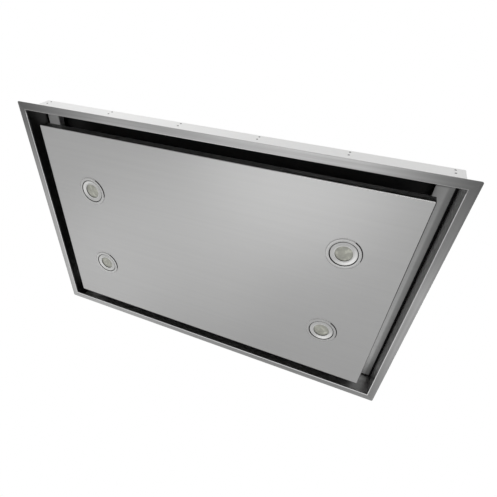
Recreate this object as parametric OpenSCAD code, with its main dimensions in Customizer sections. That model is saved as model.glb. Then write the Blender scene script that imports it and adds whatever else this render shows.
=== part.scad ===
// Ceiling-mounted range hood: a shallow recessed casing that draws air in round a flush, hinged steel
// panel with four spot lamps. The origin is the centre of the flange's ceiling face, with +Z up,
// X along the long side and the photographed long side towards -Y.

/* [Ceiling frame] */
// Length of the visible frame
frame_length = 1100; // [1080:1:1240]
// Depth of the visible frame
frame_depth = 700; // [690:1:780]
// Width of the visible flange
flange_width = 20; // [17:0.5:24]
// Stainless sheet of the frame
frame_sheet = 1; // [0.8:0.1:1.2]
// Width of the hem folded back round the flange
hem_width = 8; // [6:0.5:12]
// Rounding of the flange's corners
flange_corner_radius = 4; // [3:0.5:8]

/* [Casing] */
// Galvanised sheet of the casing
casing_sheet = 1.2; // [1:0.1:1.6]
// Height of the casing's top above the visible face
casing_height = 90; // [88:1:100]
// Rounding of the casing's upright edges
casing_corner_radius = 2.5; // [2:0.5:3]
// Rivet pairs along each long side
rivet_pairs_long = 6; // [4:1:8]
// Rivet pairs along each short side
rivet_pairs_short = 4; // [3:1:5]
// Distance from the casing's end to the first rivet pair
rivet_end_margin = 20; // [14:1:30]
// Diameter of a rivet head
rivet_head_diameter = 5; // [4:0.5:6]
// Height of a rivet head
rivet_head_height = 1; // [0.8:0.1:1.4]
// Distance between the two rivets of a pair
rivet_pair_gap = 16; // [15:0.5:17]
// Depth of the lower rivet row below the ledge
lower_rivet_drop = 4.5; // [4:0.5:6]

/* [Ledge liner] */
// Height of the ledge above the visible face
ledge_height = 70; // [66:1:72]
// Width of the ledge along the short sides
side_ledge = 42; // [38:1:46]
// Width of the ledge along the long sides
long_ledge = 28; // [26:1:30]
// Stainless sheet of the liner
liner_sheet = 1; // [0.8:0.1:1.2]
// Width of the black seal between liner and frame
seal_width = 5.5; // [3.5:0.5:6.5]
// Rise of the joggle that clears the seal and the frame's wall
joggle_rise = 6; // [5:0.5:7]
// Depth of the seal's face above the ledge's face
seal_recess = 0.3; // [0.2:0.1:0.5]

/* [Plenum] */
// Sheet of the plenum box
plenum_sheet = 1; // [0.8:0.1:1.2]
// Height of the plenum box above the casing
plenum_height = 64; // [60:1:70]
// Width of the plenum's foot flange
plenum_foot = 14; // [12:1:18]
// Width of a stiffening rib pressed in the top
rib_width = 14; // [10:1:18]
// Height of a stiffening rib
rib_height = 3; // [2:0.5:4]

/* [Filters] */
// Distance of the outer filters from the plenum's end walls
filter_end_margin = 34; // [32:0.5:50]
// Distance of the filters from the plenum's long walls
filter_side_margin = 88; // [84:1:100]
// Thickness of a filter cassette
filter_thickness = 9; // [8:0.5:10]
// Clear space between two filters
filter_spacing = 20; // [16:1:24]
// Width of the cassette's rim
filter_rim = 12; // [10:1:15]
// Sheet of the cassette's rim
filter_sheet = 0.8; // [0.6:0.1:1]
// Rounding of the cassette's corners
filter_corner_radius = 5; // [4:0.5:7]
// Pitch of the crimps in a mesh layer
mesh_pitch = 12; // [10:1:16]
// Thickness of one mesh layer
mesh_sheet = 0.4; // [0.3:0.1:0.5]
// Height of the crimps in a mesh layer
mesh_crimp = 4.6; // [4:0.2:4.8]
// Number of mesh layers in a filter
mesh_layers = 3; // [2:1:3]
// Length of the pull handle
handle_length = 64; // [50:1:80]
// Reach of the pull handle below the cassette
handle_drop = 9; // [7:0.5:10]
// Thickness of the pull handle's strap
handle_strap = 1.6; // [1.2:0.1:2]
// Width of the pull handle's strap
handle_width = 9; // [8:0.5:10]

/* [Filter deck] */
// Sheet of the filter deck
deck_sheet = 1.2; // [1:0.1:1.5]
// Height of the deck's underside above the visible face
deck_height = 102; // [100:1:105]
// Height of the deck's upturned edge
deck_edge = 20; // [15:1:25]
// Overlap of the deck on a filter's rim
bay_rest = 8; // [6:0.5:9]
// Width of a sprung filter clip
clip_width = 16; // [12:1:20]
// Sheet of a sprung filter clip
clip_sheet = 0.8; // [0.6:0.1:1]

/* [Panel] */
// Gap between the panel and the frame at the short sides
side_gap = 38; // [34:1:42]
// Gap between the panel and the frame at the long sides
long_gap = 34; // [31:1:36]
// Stainless sheet of the panel
panel_sheet = 1; // [0.8:0.1:1.2]
// Height of the panel's upturned edge
return_height = 25; // [24:0.5:27]
// Width of the lip turned in on top of that edge
lip_width = 11; // [9:0.5:11]
// Rounding of the panel's corners
panel_corner_radius = 2; // [1.5:0.5:3]
// Height of a stiffening channel
channel_height = 15; // [12:0.5:16]
// Width of a channel's top
channel_top = 20; // [18:1:24]
// Width of a channel's foot
channel_foot = 10; // [8:1:12]
// Sheet of a channel
channel_sheet = 1; // [0.8:0.1:1.2]
// Distance of the outer channels from the panel's long edge
channel_inset = 60; // [56:1:64]
// Distance of a channel's end from the panel's end
channel_end_gap = 40; // [30:1:60]

/* [Lamps] */
// Distance of the lamps from the panel's short edges
lamp_end_inset = 137; // [127:1:147]
// Shift of the lamps' rows outwards from midway between two channels
lamp_shift = 12; // [4:1:16]
// Outer diameter of the bezel
bezel_diameter = 84; // [80:1:90]
// Thickness of the bezel in front of the panel
bezel_thickness = 2; // [1.5:0.1:2.5]
// Diameter of the inner ring
lamp_ring_diameter = 63; // [61:0.5:64]
// Width of the dark groove round the inner ring
lamp_groove = 1.8; // [1.6:0.1:2]
// Wall of the bezel's neck
neck_wall = 1.5; // [1.2:0.1:1.6]
// Length of the bezel's neck behind the panel
neck_length = 8; // [7:0.5:9]
// Diameter of the lens
lens_diameter = 46; // [44:0.5:48]
// Thickness of the lens
lens_thickness = 3; // [2.5:0.1:3.5]
// Diameter of the lamp's heat sink
heat_sink_diameter = 58; // [54:1:60]
// Height of the lamp's heat sink
heat_sink_height = 18; // [15:0.5:19]
// Number of heat-sink fins
fin_count = 18; // [14:1:20]
// Thickness of a fin
fin_sheet = 1.4; // [1.2:0.1:1.8]

/* [Hinges and catches] */
// Distance between the two hinges
hinge_spacing = 600; // [560:1:640]
// Distance of the hinge axis inside the panel's far edge
hinge_inset = 12; // [12:0.5:14]
// Height of the hinge axis above the panel's turned-in lip
hinge_rise = 7; // [7:0.5:9]
// Diameter of a hinge pin
pin_diameter = 6; // [5:0.5:6]
// Diameter of the hinge barrel
barrel_diameter = 12; // [11:0.5:12]
// Length of the hinge barrel
barrel_length = 22; // [20:1:26]
// Thickness of a hinge arm
arm_sheet = 2.5; // [2:0.1:3]
// Clearance at each side of the barrel
barrel_clearance = 0.6; // [0.4:0.1:1]
// Running clearance on a pin's radius
running_clearance = 0.06; // [0.04:0.01:0.09]
// Distance between the two catches
catch_spacing = 400; // [360:1:440]
// Length of a catch magnet
magnet_length = 30; // [24:1:36]
// Width of a catch magnet
magnet_width = 14; // [12:1:16]
// Height of a catch magnet
magnet_height = 10; // [8:0.5:12]
// Sheet of a catch post
post_sheet = 1.5; // [1.2:0.1:2]
// Thickness of a striker plate
striker_sheet = 1.5; // [1.2:0.1:2]

/* [Blower] */
// Diameter of the impeller
impeller_diameter = 200; // [190:1:206]
// Height of the impeller
impeller_height = 100; // [92:1:104]
// Number of impeller blades
blade_count = 40; // [30:1:42]
// Radial depth of a blade
blade_depth = 15; // [13:0.5:17]
// Forward sweep of a blade, in degrees
blade_sweep = 9; // [6:0.5:10]
// Thickness of a blade
blade_sheet = 1; // [0.8:0.1:1.2]
// Sheet of the scroll housing
scroll_sheet = 1.2; // [1:0.1:1.5]
// Height of the scroll housing
scroll_height = 128; // [124:1:136]
// Gap between the impeller and the scroll's tongue
tongue_gap = 10; // [8:0.5:14]
// Growth of the scroll's radius from the tongue to the outlet
scroll_growth = 80; // [74:1:84]
// Distance of the outlet's plane from the impeller's axis
outlet_reach = 150; // [146:1:160]
// Distance between the control box and the scroll's widest radius
fan_gap = 38; // [28:1:48]
// Place of the impeller's axis along the hood's depth
fan_y = 30; // [20:1:50]
// Diameter of the motor
motor_diameter = 96; // [90:1:98]
// Depth of the motor below the scroll's cover
motor_depth = 50; // [46:1:52]
// Diameter of the motor's shaft
shaft_diameter = 8; // [7:0.5:9]

/* [Duct outlet] */
// Outer diameter of the duct collar
duct_diameter = 150; // [145:1:152]
// Sheet of the collar and its adapter
duct_sheet = 1.2; // [1:0.1:1.5]
// Length of the collar
collar_length = 70; // [66:1:80]
// Length of the adapter between scroll and collar
adapter_length = 80; // [70:1:90]
// Thickness of a non-return flap
flap_sheet = 1.5; // [1.2:0.1:1.6]
// Diameter of the flaps' pin
flap_pin_diameter = 4; // [3.5:0.5:4]
// Clearance between the flaps and the collar's wall
flap_clearance = 1.2; // [1:0.1:1.6]

/* [Control box] */
// Length of the control box
box_length = 170; // [160:1:180]
// Depth of the control box
box_depth = 150; // [140:1:170]
// Height of the control box
box_height = 45; // [40:1:50]
// Sheet of the control box
box_sheet = 1; // [0.8:0.1:1.2]
// Length of the lamp driver
driver_length = 150; // [140:1:170]
// Depth of the lamp driver
driver_depth = 44; // [40:1:50]
// Height of the lamp driver
driver_height = 30; // [26:1:34]
// Diameter of the supply cable's passage through the gland
gland_bore = 9; // [7:0.5:10]

/* [Hangers] */
// Width of a hanger bracket
hanger_width = 40; // [36:1:50]
// Thickness of a hanger bracket
hanger_sheet = 3; // [2.5:0.5:3]
// Height of a hanger's foot above the casing
hanger_height = 42; // [38:1:46]
// Distance between the hangers along the hood's depth
hanger_spacing = 440; // [400:1:460]
// Length of a hanger's slot, between its end centres
slot_travel = 16; // [12:1:20]
// Width of a hanger's slot
slot_width = 8.5; // [8.4:0.1:9]

/* [Hidden] */
$fn = 48;

// Overrun of a cut past the faces that it opens
overrun = 1;

// Levels and half sizes of the frame, casing and liner
face_z = -2 * frame_sheet;
wall_x = frame_length / 2 - flange_width;
wall_y = frame_depth / 2 - flange_width;
inside_x = wall_x + frame_sheet;
inside_y = wall_y + frame_sheet;
casing_x = inside_x + casing_sheet;
casing_y = inside_y + casing_sheet;
casing_top = face_z + casing_height;
ledge_z = face_z + ledge_height;
joggle_z = ledge_z + joggle_rise;
open_x = wall_x - side_ledge;
open_y = wall_y - long_ledge;
liner_lip_x = wall_x - seal_width;
liner_lip_y = wall_y - seal_width;

// The plenum box stands in line with the liner's inner lips
plenum_in_x = open_x + liner_sheet;
plenum_in_y = open_y + liner_sheet;
plenum_x = plenum_in_x + plenum_sheet;
plenum_y = plenum_in_y + plenum_sheet;
plenum_top = casing_top + plenum_height;
rib_length_share = 0.8;
rib_slope = rib_height;
rib_place_share = 0.55;

// Filters, their deck and clips
deck_z = face_z + deck_height;
filter_gap = 0.3;
filter_top = deck_z - filter_gap;
filter_places = [-1, 0, 1];
filter_span = 2 * (plenum_in_x - filter_end_margin) + filter_spacing;
filter_pitch = filter_span / len(filter_places);
filter_length = filter_pitch - filter_spacing;
filter_depth = 2 * (plenum_in_y - filter_side_margin);
bay_length = filter_length - 2 * bay_rest;
bay_depth = filter_depth - 2 * bay_rest;
bay_rim = 6;
clip_foot = 12;
clip_reach = 3;
clip_places_share = 0.25;
mesh_layer_gap = 0.3;
mesh_end_gap = 0.5;
handle_place_share = 0.38;
handle_foot = 8;

// Panel, its channels and lamps
panel_x = wall_x - side_gap;
panel_y = wall_y - long_gap;
skin_top = face_z + panel_sheet;
lip_top = face_z + return_height;
channel_y = panel_y - channel_inset;
channel_slope = 3;
lamp_x = panel_x - lamp_end_inset;
lamp_y = channel_y / 2 + lamp_shift;
neck_inner = lamp_ring_diameter / 2 + lamp_groove;
neck_outer = neck_inner + neck_wall;
neck_top = skin_top + neck_length;
lamp_hole_clearance = 0.3;
bezel_chamfer = 0.8;
ring_stand = 1.2;
ring_crown = 2;
ring_wall = 3;
lens_stand = 0.4;
lens_crown = 1;
sink_base = 2;
sink_core_share = 0.45;
clip_strip = 9;
clip_spread = 11;
lamp_clip_turn = 90;

// Hinges and catches
hinge_x = hinge_spacing / 2;
hinge_y = panel_y - hinge_inset;
hinge_z = lip_top + hinge_rise;
barrel_r = barrel_diameter / 2;
pin_r = pin_diameter / 2;
arm_in = barrel_length / 2 + barrel_clearance;
arm_out = arm_in + arm_sheet;
leaf_foot = 22;
leaf_ear = 10;
leaf_sheet = 1.5;
leaf_web = 2;
bracket_ear = 12;
bracket_leg = 12;
foot_margin = 2;
pin_head = 1.5;
pin_head_reach = 1.5;
pin_head_r = pin_r + pin_head_reach;
catch_x = catch_spacing / 2;
catch_gap = 0.3;
striker_top = skin_top + channel_height + striker_sheet;
magnet_z = striker_top + catch_gap;
post_z = magnet_z + magnet_height;
striker_margin = 10;
striker_length = magnet_length + striker_margin;
post_width = 24;
pole_sheet = 2;
pole_height = 2;
post_foot = 22;

// Blower beside the control box; its scroll turns counter-clockwise seen from above and blows towards +X
box_end_gap = 22;
box_x = -(plenum_x - box_end_gap - box_length / 2);
impeller_r = impeller_diameter / 2;
scroll_start = impeller_r + tongue_gap;
scroll_end = scroll_start + scroll_growth;
fan_x = box_x + box_length / 2 + fan_gap + scroll_end;
scroll_turn = 270;
scroll_steps = 54;
scroll_first_step = 2;
scroll_foot = 10;
scroll_base_top = plenum_top + scroll_sheet;
scroll_top = plenum_top + scroll_height;
cover_lip = 6;
cover_clearance = 0.3;
outlet_x = fan_x + outlet_reach;
outlet_y = fan_y - scroll_end / 2;
outlet_flange = 10;
impeller_base_gap = 12;
impeller_z = scroll_base_top + impeller_base_gap;
impeller_top = impeller_z + impeller_height;
impeller_rim = 1;
blade_outer = impeller_r - impeller_rim;
blade_inner = blade_outer - blade_depth;
blade_steps = 6;
disc_sheet = 1.5;
eye_ring_height = 4;
dish_clearance = 8;
throat_wall = 1.2;
throat_inset = 3;
throat_r = blade_inner - throat_inset;
bell_bend = 9;
bell_flange = 14;
throat_rise = 18;
motor_r = motor_diameter / 2;
shaft_r = shaft_diameter / 2;
motor_z = scroll_top - motor_depth;
motor_stand = 4;
lug_sheet = 2;
lug_reach = 20;
lug_width = 18;
lug_count = 3;
lug_turn = 30;
boss_height = 6;
boss_r = 14;
shaft_depth = 20;
shaft_stub = 3;
motor_hole_gap = 3;
bush_r = 7;
cap_height = 14;
cap_bend = 6;
cap_wall = 2;
vent_count = 18;
vent_start = 20;
vent_length = 18;
vent_width = 3;
hub_r = 11;
hub_length = 12;
hub_gap = 6;

// Duct outlet
duct_r = duct_diameter / 2;
duct_in_r = duct_r - duct_sheet;
duct_lift = 7;
duct_z = plenum_top + duct_r + duct_lift;
collar_x = outlet_x + adapter_length;
collar_flange = 6;
adapter_end = 6;
adapter_facets = 36;
bead_place = 6;
bead_height = 1.6;
flap_x = collar_x + collar_length * 0.4;
flap_pin_r = flap_pin_diameter / 2;
flap_pin_setback = 0.3;
flap_bore = flap_pin_r + running_clearance;
flap_r = duct_in_r - flap_clearance;
knuckle_wall = 1.8;
knuckle_r = flap_pin_r + knuckle_wall;
knuckle_gap = 0.6;
knuckle_length = 28;
front_knuckle_shares = [-0.63, 0.21];
back_knuckle_shares = [-0.21, 0.63];

// Control box and lamp driver
box_flange = 8;
lid_clearance = 0.2;
lid_rim = 12;
board_gap = 6;
board_end_gap = 10;
board_side_gap = 11;
board_sheet = 1.6;
standoff = 5;
standoff_r = 3;
relay_size = [19, 15, 15];
transformer_size = [32, 27, 24];
fuse_size = [22, 6, 8];
capacitor_diameter = 30;
capacitor_length = 62;
capacitor_gap = 4;
capacitor_stud = 5;
capacitor_room = capacitor_gap + capacitor_diameter + board_end_gap;
board_length = box_length - 2 * box_sheet - board_gap - capacitor_room;
terminal_ways = 5;
terminal_pitch = 10;
terminal_depth = 22;
terminal_height = 16;
gland_flat = 19;
gland_nut = 5;
gland_nose = 14;
gland_r = 8;
gland_tip_r = 6.5;
gland_thread_r = 6;
gland_shift = 30;
terminal_gap = 9;
terminal_room = terminal_gap + terminal_depth + board_side_gap;
board_depth = box_depth - 2 * box_sheet - board_gap - terminal_room;
wire_hole_r = 2;
screw_head_r = 3.2;
screw_head = 2;
driver_ear = 10;
driver_x = plenum_x - box_end_gap - driver_length / 2 - driver_ear;
driver_y = 130;
driver_ear_sheet = 2.5;
driver_step = 5;

// Hangers
hanger_top = casing_top + hanger_height;
hanger_setback = 4;
hanger_reach = casing_x - plenum_x - hanger_setback;
hanger_y = hanger_spacing / 2;
hanger_foot_gap = 1;
hanger_foot_z = casing_top + plenum_sheet + hanger_foot_gap;
slot_r = slot_width / 2;
slot_edge = 5;
slot_x = plenum_x + hanger_reach - slot_edge - slot_r - slot_travel / 2;
hex_flats = 10;
hex_height = 4;
hex_spread = 11;
hex_drop = 4;
washer_sheet = 1.2;
washer_r = 7.5;
hanger_gusset = 22;

// Rectangle with round corners, centred on the origin
module rounded_rectangle(length, depth, radius) {
  square([length - 2 * radius, depth], center = true);
  square([length, depth - 2 * radius], center = true);
  for (x = [-1, 1], y = [-1, 1])
    translate([x * (length / 2 - radius), y * (depth / 2 - radius)])
      circle(r = radius);
}

// Upright sheet round a rectangle, given by the half sizes of its inner face
module sheet_wall(half_x, half_y, sheet, height) {
  linear_extrude(height)
    difference() {
      square([2 * (half_x + sheet), 2 * (half_y + sheet)], center = true);
      square([2 * half_x, 2 * half_y], center = true);
    }
}

// Flat sheet with a rectangular opening, given by the half sizes of both
module sheet_frame(outer_x, outer_y, inner_x, inner_y, sheet) {
  linear_extrude(sheet)
    difference() {
      square([2 * outer_x, 2 * outer_y], center = true);
      square([2 * inner_x, 2 * inner_y], center = true);
    }
}

// Profile in the YZ plane, drawn with its first axis along Y, extruded along X about x = 0
module along_x(length) {
  rotate([90, 0, 90])
    linear_extrude(length, center = true)
      children();
}

// Rolled edge of the flange, a full round over both sheets of the hem
module rolled_edge() {
  r = frame_sheet;
  corner_x = frame_length / 2 - flange_corner_radius;
  corner_y = frame_depth / 2 - flange_corner_radius;
  for (side = [-1, 1]) {
    translate([-corner_x, side * (frame_depth / 2 - r), face_z + r])
      rotate([0, 90, 0])
        cylinder(h = 2 * corner_x, r = r);
    translate([side * (frame_length / 2 - r), corner_y, face_z + r])
      rotate([90, 0, 0])
        cylinder(h = 2 * corner_y, r = r);
  }
  for (quarter = [0:3])
    translate([(quarter % 3 == 0 ? 1 : -1) * corner_x, (quarter < 2 ? 1 : -1) * corner_y, face_z + r])
      rotate([0, 0, 90 * quarter])
        rotate_extrude(angle = 90)
          translate([flange_corner_radius - r, 0])
            circle(r = r);
}

// Visible stainless frame: flange with a folded hem, and the upright wall of the recess
module ceiling_frame() {
  color("silver") {
    translate([0, 0, face_z])
      linear_extrude(frame_sheet)
        difference() {
          rounded_rectangle(frame_length - 2 * frame_sheet, frame_depth - 2 * frame_sheet,
            flange_corner_radius - frame_sheet);
          square([2 * wall_x, 2 * wall_y], center = true);
        }
    translate([0, 0, face_z + frame_sheet])
      linear_extrude(frame_sheet)
        difference() {
          rounded_rectangle(frame_length - 2 * frame_sheet, frame_depth - 2 * frame_sheet,
            flange_corner_radius - frame_sheet);
          square([frame_length - 2 * hem_width, frame_depth - 2 * hem_width], center = true);
        }
    rolled_edge();
    translate([0, 0, face_z])
      sheet_wall(wall_x, wall_y, frame_sheet, joggle_z - face_z);
  }
}

// Galvanised outer casing, standing on the flange and closed above by a plate with one large opening
module casing() {
  color("gainsboro") {
    translate([0, 0, face_z + frame_sheet])
      linear_extrude(casing_height - frame_sheet)
        difference() {
          rounded_rectangle(2 * casing_x, 2 * casing_y, casing_corner_radius);
          square([2 * inside_x, 2 * inside_y], center = true);
        }
    translate([0, 0, casing_top - casing_sheet])
      sheet_frame(inside_x + casing_sheet / 2, inside_y + casing_sheet / 2,
        plenum_in_x, plenum_in_y, casing_sheet);
  }
}

// Low rivet head that stands on the plane z = 0
module rivet_head() {
  cylinder(h = rivet_head_height, r1 = rivet_head_diameter / 2, r2 = rivet_head_diameter / 3);
}

// Rivet pairs in a row from one end to the other, on a wall that faces +Z before it is turned upright
module rivet_row(half_length, pairs) {
  first = half_length - rivet_end_margin;
  lower = ledge_z - lower_rivet_drop;
  for (i = [0:pairs - 1], rise = [0, rivet_pair_gap])
    translate([-first + i * 2 * first / (pairs - 1), lower + rise, 0])
      rivet_head();
}

// All the casing's rivets: the lower row holds the frame's wall, the upper row the liner's lip
module casing_rivets() {
  color("darkgray") {
    for (side = [0, 180])
      rotate([0, 0, side]) {
        translate([0, -casing_y, 0])
          rotate([90, 0, 0])
            rivet_row(casing_x, rivet_pairs_long);
        translate([casing_x, 0, 0])
          rotate([90, 0, 90])
            rivet_row(casing_y, rivet_pairs_short);
      }
  }
}

// Stainless ledge round the recess, with an inner lip and a joggled outer lip
module ledge_liner() {
  lip_top_z = casing_top - casing_sheet;
  color("silver") {
    translate([0, 0, ledge_z])
      sheet_frame(liner_lip_x, liner_lip_y, open_x, open_y, liner_sheet);
    translate([0, 0, ledge_z])
      sheet_wall(open_x, open_y, liner_sheet, lip_top_z - ledge_z);
    translate([0, 0, ledge_z])
      sheet_wall(liner_lip_x - liner_sheet, liner_lip_y - liner_sheet, liner_sheet,
        joggle_rise + liner_sheet);
    translate([0, 0, joggle_z])
      sheet_frame(inside_x, inside_y, liner_lip_x - liner_sheet, liner_lip_y - liner_sheet, liner_sheet);
    translate([0, 0, joggle_z])
      sheet_wall(inside_x - liner_sheet, inside_y - liner_sheet, liner_sheet, lip_top_z - joggle_z);
  }
}

// Black foam seal in the slot between the liner and the frame's wall
module liner_seal() {
  color("black")
    translate([0, 0, ledge_z + seal_recess])
      sheet_wall(liner_lip_x, liner_lip_y, seal_width, joggle_rise - seal_recess);
}

// Profile of a rib pressed upwards in the plenum's top, hollow below
module rib_profile() {
  foot = rib_width / 2;
  crest = foot - rib_slope;
  polygon([
    [-foot, 0], [-crest, rib_height], [crest, rib_height], [foot, 0],
    [foot - plenum_sheet, 0], [crest - plenum_sheet / 2, rib_height - plenum_sheet],
    [plenum_sheet / 2 - crest, rib_height - plenum_sheet], [plenum_sheet - foot, 0]
  ]);
}

// Upper box over the casing's opening, with a foot flange, two pressed ribs and the blower's inlet
module plenum_box() {
  rib_length = 2 * plenum_y * rib_length_share;
  color("lightgray")
    difference() {
      union() {
        translate([0, 0, casing_top])
          sheet_wall(plenum_in_x, plenum_in_y, plenum_sheet, plenum_height);
        translate([0, 0, casing_top])
          sheet_frame(plenum_x + plenum_foot, plenum_y + plenum_foot, plenum_in_x, plenum_in_y, plenum_sheet);
        translate([0, 0, plenum_top - plenum_sheet])
          linear_extrude(plenum_sheet)
            square([2 * plenum_x, 2 * plenum_y], center = true);
        for (side = [-1, 1])
          translate([side * plenum_x * rib_place_share, 0, plenum_top])
            rotate([90, 0, 0])
              linear_extrude(rib_length, center = true)
                rib_profile();
      }
      translate([fan_x, fan_y, plenum_top - plenum_sheet - overrun])
        cylinder(h = plenum_sheet + 2 * overrun, r = throat_r + bell_bend);
    }
}

// Black deck inside the plenum: three bays with turned-up rims, and an edge that meets the plenum's walls
module filter_deck() {
  color("dimgray") {
    translate([0, 0, deck_z])
      linear_extrude(deck_sheet)
        difference() {
          square([2 * plenum_in_x, 2 * plenum_in_y], center = true);
          for (place = filter_places)
            translate([place * filter_pitch, 0])
              square([bay_length, bay_depth], center = true);
        }
    translate([0, 0, deck_z])
      sheet_wall(plenum_in_x - deck_sheet, plenum_in_y - deck_sheet, deck_sheet, deck_edge);
    for (place = filter_places)
      translate([place * filter_pitch, 0, deck_z])
        sheet_wall(bay_length / 2, bay_depth / 2, deck_sheet, bay_rim);
  }
}

// Sprung clip that hangs from the deck beside a filter's end, drawn for the end towards +Y
module filter_clip() {
  drop = filter_thickness + filter_gap;
  along_x(clip_width)
    translate([filter_depth / 2 + filter_gap, 0])
      polygon([
        [0, 0], [clip_foot, 0], [clip_foot, -clip_sheet], [clip_sheet, -clip_sheet],
        [clip_sheet, -drop], [clip_sheet + clip_reach, -drop - clip_reach],
        [clip_reach, -drop - clip_reach], [0, -drop]
      ]);
}

// Two clips at each end of each filter, as separate solids
module filter_clips() {
  color("lightsteelblue")
    for (place = filter_places, along = [-1, 1], end = [0, 180])
      translate([place * filter_pitch + along * filter_length * clip_places_share, 0, deck_z])
        rotate([0, 0, end])
          filter_clip();
}

// Rim of a filter cassette: a channel open towards the mesh
module filter_frame(place) {
  half_x = filter_length / 2;
  half_y = filter_depth / 2;
  color("dimgray")
    translate([place * filter_pitch, 0, filter_top - filter_thickness])
      difference() {
        linear_extrude(filter_thickness)
          difference() {
            rounded_rectangle(filter_length, filter_depth, filter_corner_radius);
            square([filter_length - 2 * filter_rim, filter_depth - 2 * filter_rim], center = true);
          }
        translate([0, 0, filter_sheet])
          linear_extrude(filter_thickness - 2 * filter_sheet)
            rounded_rectangle(2 * (half_x - filter_sheet), 2 * (half_y - filter_sheet),
              filter_corner_radius - filter_sheet);
      }
}

// Crimped profile of one mesh layer, a zigzag strip across the inside of a cassette
module crimp_profile() {
  half = filter_length / 2 - filter_sheet;
  count = floor(2 * half / mesh_pitch) * 2;
  step = 2 * half / count;
  low = [for (i = [0:count]) [i * step - half, i % 2 * mesh_crimp]];
  high = [for (i = [0:count]) [(count - i) * step - half, (count - i) % 2 * mesh_crimp + mesh_sheet]];
  polygon(concat(low, high));
}

// Pack of crimped mesh layers inside the rim of a cassette, each offset from the next
module filter_mesh(place) {
  step = mesh_sheet + mesh_layer_gap;
  lowest = filter_top - (filter_thickness + mesh_crimp + mesh_layers * step) / 2;
  color("gray")
    for (i = [0:mesh_layers - 1])
      translate([place * filter_pitch, 0, lowest + i * step])
        rotate([90, 0, 0])
          linear_extrude(filter_depth - 2 * filter_sheet - 2 * mesh_end_gap, center = true)
            crimp_profile();
}

// Strap handle below a cassette's near rim, seated on the rim at both feet
module filter_handle(place) {
  bottom = -handle_drop;
  inner = handle_length / 2 - handle_foot;
  color("darkgray")
    translate([place * filter_pitch, -(filter_depth - filter_rim) / 2, filter_top - filter_thickness])
      rotate([90, 0, 0])
        linear_extrude(handle_width, center = true)
          polygon([
            [-handle_length / 2, 0], [-inner, 0], [handle_strap - inner, 0],
            [handle_strap - inner, bottom + handle_strap], [inner - handle_strap, bottom + handle_strap],
            [inner - handle_strap, 0], [inner, 0], [handle_length / 2, 0],
            [handle_length / 2, -handle_strap], [inner, -handle_strap], [inner, bottom],
            [-inner, bottom], [-inner, -handle_strap], [-handle_length / 2, -handle_strap]
          ]);
}

// One L-shaped hanger on the plenum's end wall, slotted for a threaded rod, drawn for the end towards +X
module hanger_bracket() {
  difference() {
    union() {
      translate([plenum_x, -hanger_width / 2, hanger_foot_z])
        cube([hanger_sheet, hanger_width, hanger_top - hanger_foot_z]);
      translate([plenum_x, -hanger_width / 2, hanger_top - hanger_sheet])
        cube([hanger_reach, hanger_width, hanger_sheet]);
      for (side = [-1, 1])
        translate([plenum_x, side * (hanger_width - hanger_sheet) / 2, hanger_top])
          rotate([90, 0, 0])
            linear_extrude(hanger_sheet, center = true)
              polygon([[0, 0], [hanger_gusset, 0], [0, -hanger_gusset]]);
    }
    for (side = [-1, 1])
      translate([slot_x + side * slot_travel / 2, 0, hanger_top - hanger_sheet - overrun])
        cylinder(h = hanger_sheet + 2 * overrun, r = slot_r);
    translate([slot_x - slot_travel / 2, -slot_r, hanger_top - hanger_sheet - overrun])
      cube([slot_travel, slot_width, hanger_sheet + 2 * overrun]);
  }
}

// Places of the four hangers, for a child drawn on the end towards +X
module at_hangers() {
  for (end = [0, 180], along = [-1, 1])
    rotate([0, 0, end])
      translate([0, along * hanger_y, 0])
        children();
}

// Four hangers that carry the hood on threaded rods
module hanger_brackets() {
  color("silver")
    at_hangers()
      hanger_bracket();
}

// Two flanged hexagon screws in each hanger's upright leg
module hanger_screws() {
  color("darkgray")
    at_hangers()
      for (side = [-1, 1])
        translate([plenum_x + hanger_sheet, side * hex_spread, (hanger_foot_z + hanger_top) / 2 - hex_drop])
          rotate([0, 90, 0]) {
            cylinder(h = washer_sheet, r = washer_r);
            cylinder(h = hex_height, d = hex_flats / cos(30), $fn = 6);
          }
}

// Profile of a hinge arm about the hinge axis: down from the bracket's foot to the pin's eye
module hinge_arm_profile() {
  top = ledge_z - arm_sheet - hinge_z;
  reach = liner_lip_y - foot_margin - hinge_y;
  difference() {
    union() {
      circle(r = barrel_r);
      translate([-barrel_r, 0])
        square([barrel_diameter, top]);
      translate([-barrel_r, top - bracket_leg])
        square([reach + barrel_r, bracket_leg]);
    }
    circle(r = pin_r);
  }
}

// Fixed half of both hinges: two cranked arms under a foot plate that is fastened below the far ledge
module hinge_brackets() {
  foot_y = open_y + foot_margin;
  foot_depth = liner_lip_y - foot_margin - foot_y;
  color("silver")
    for (side = [-1, 1])
      translate([side * hinge_x, 0, 0]) {
        for (arm = [-1, 1])
          translate([arm * (arm_in + arm_sheet / 2), hinge_y, hinge_z])
            along_x(arm_sheet)
              hinge_arm_profile();
        translate([-arm_out - bracket_ear, foot_y, ledge_z - arm_sheet])
          cube([2 * (arm_out + bracket_ear), foot_depth, arm_sheet]);
      }
}

// Hinge pins, headed at both ends outside the arms
module hinge_pins() {
  color("darkgray")
    for (side = [-1, 1])
      translate([side * hinge_x, hinge_y, hinge_z])
        rotate([0, 90, 0]) {
          cylinder(h = 2 * arm_out, r = pin_r, center = true);
          for (end = [0, 180])
            rotate([end, 0, 0])
              translate([0, 0, arm_out])
                cylinder(h = pin_head, r = pin_head_r);
        }
}

// Places of the two catches on the near side, on the middle of the near channel
module at_catches() {
  for (side = [-1, 1])
    translate([side * catch_x, -channel_y, 0])
      children();
}

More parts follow.
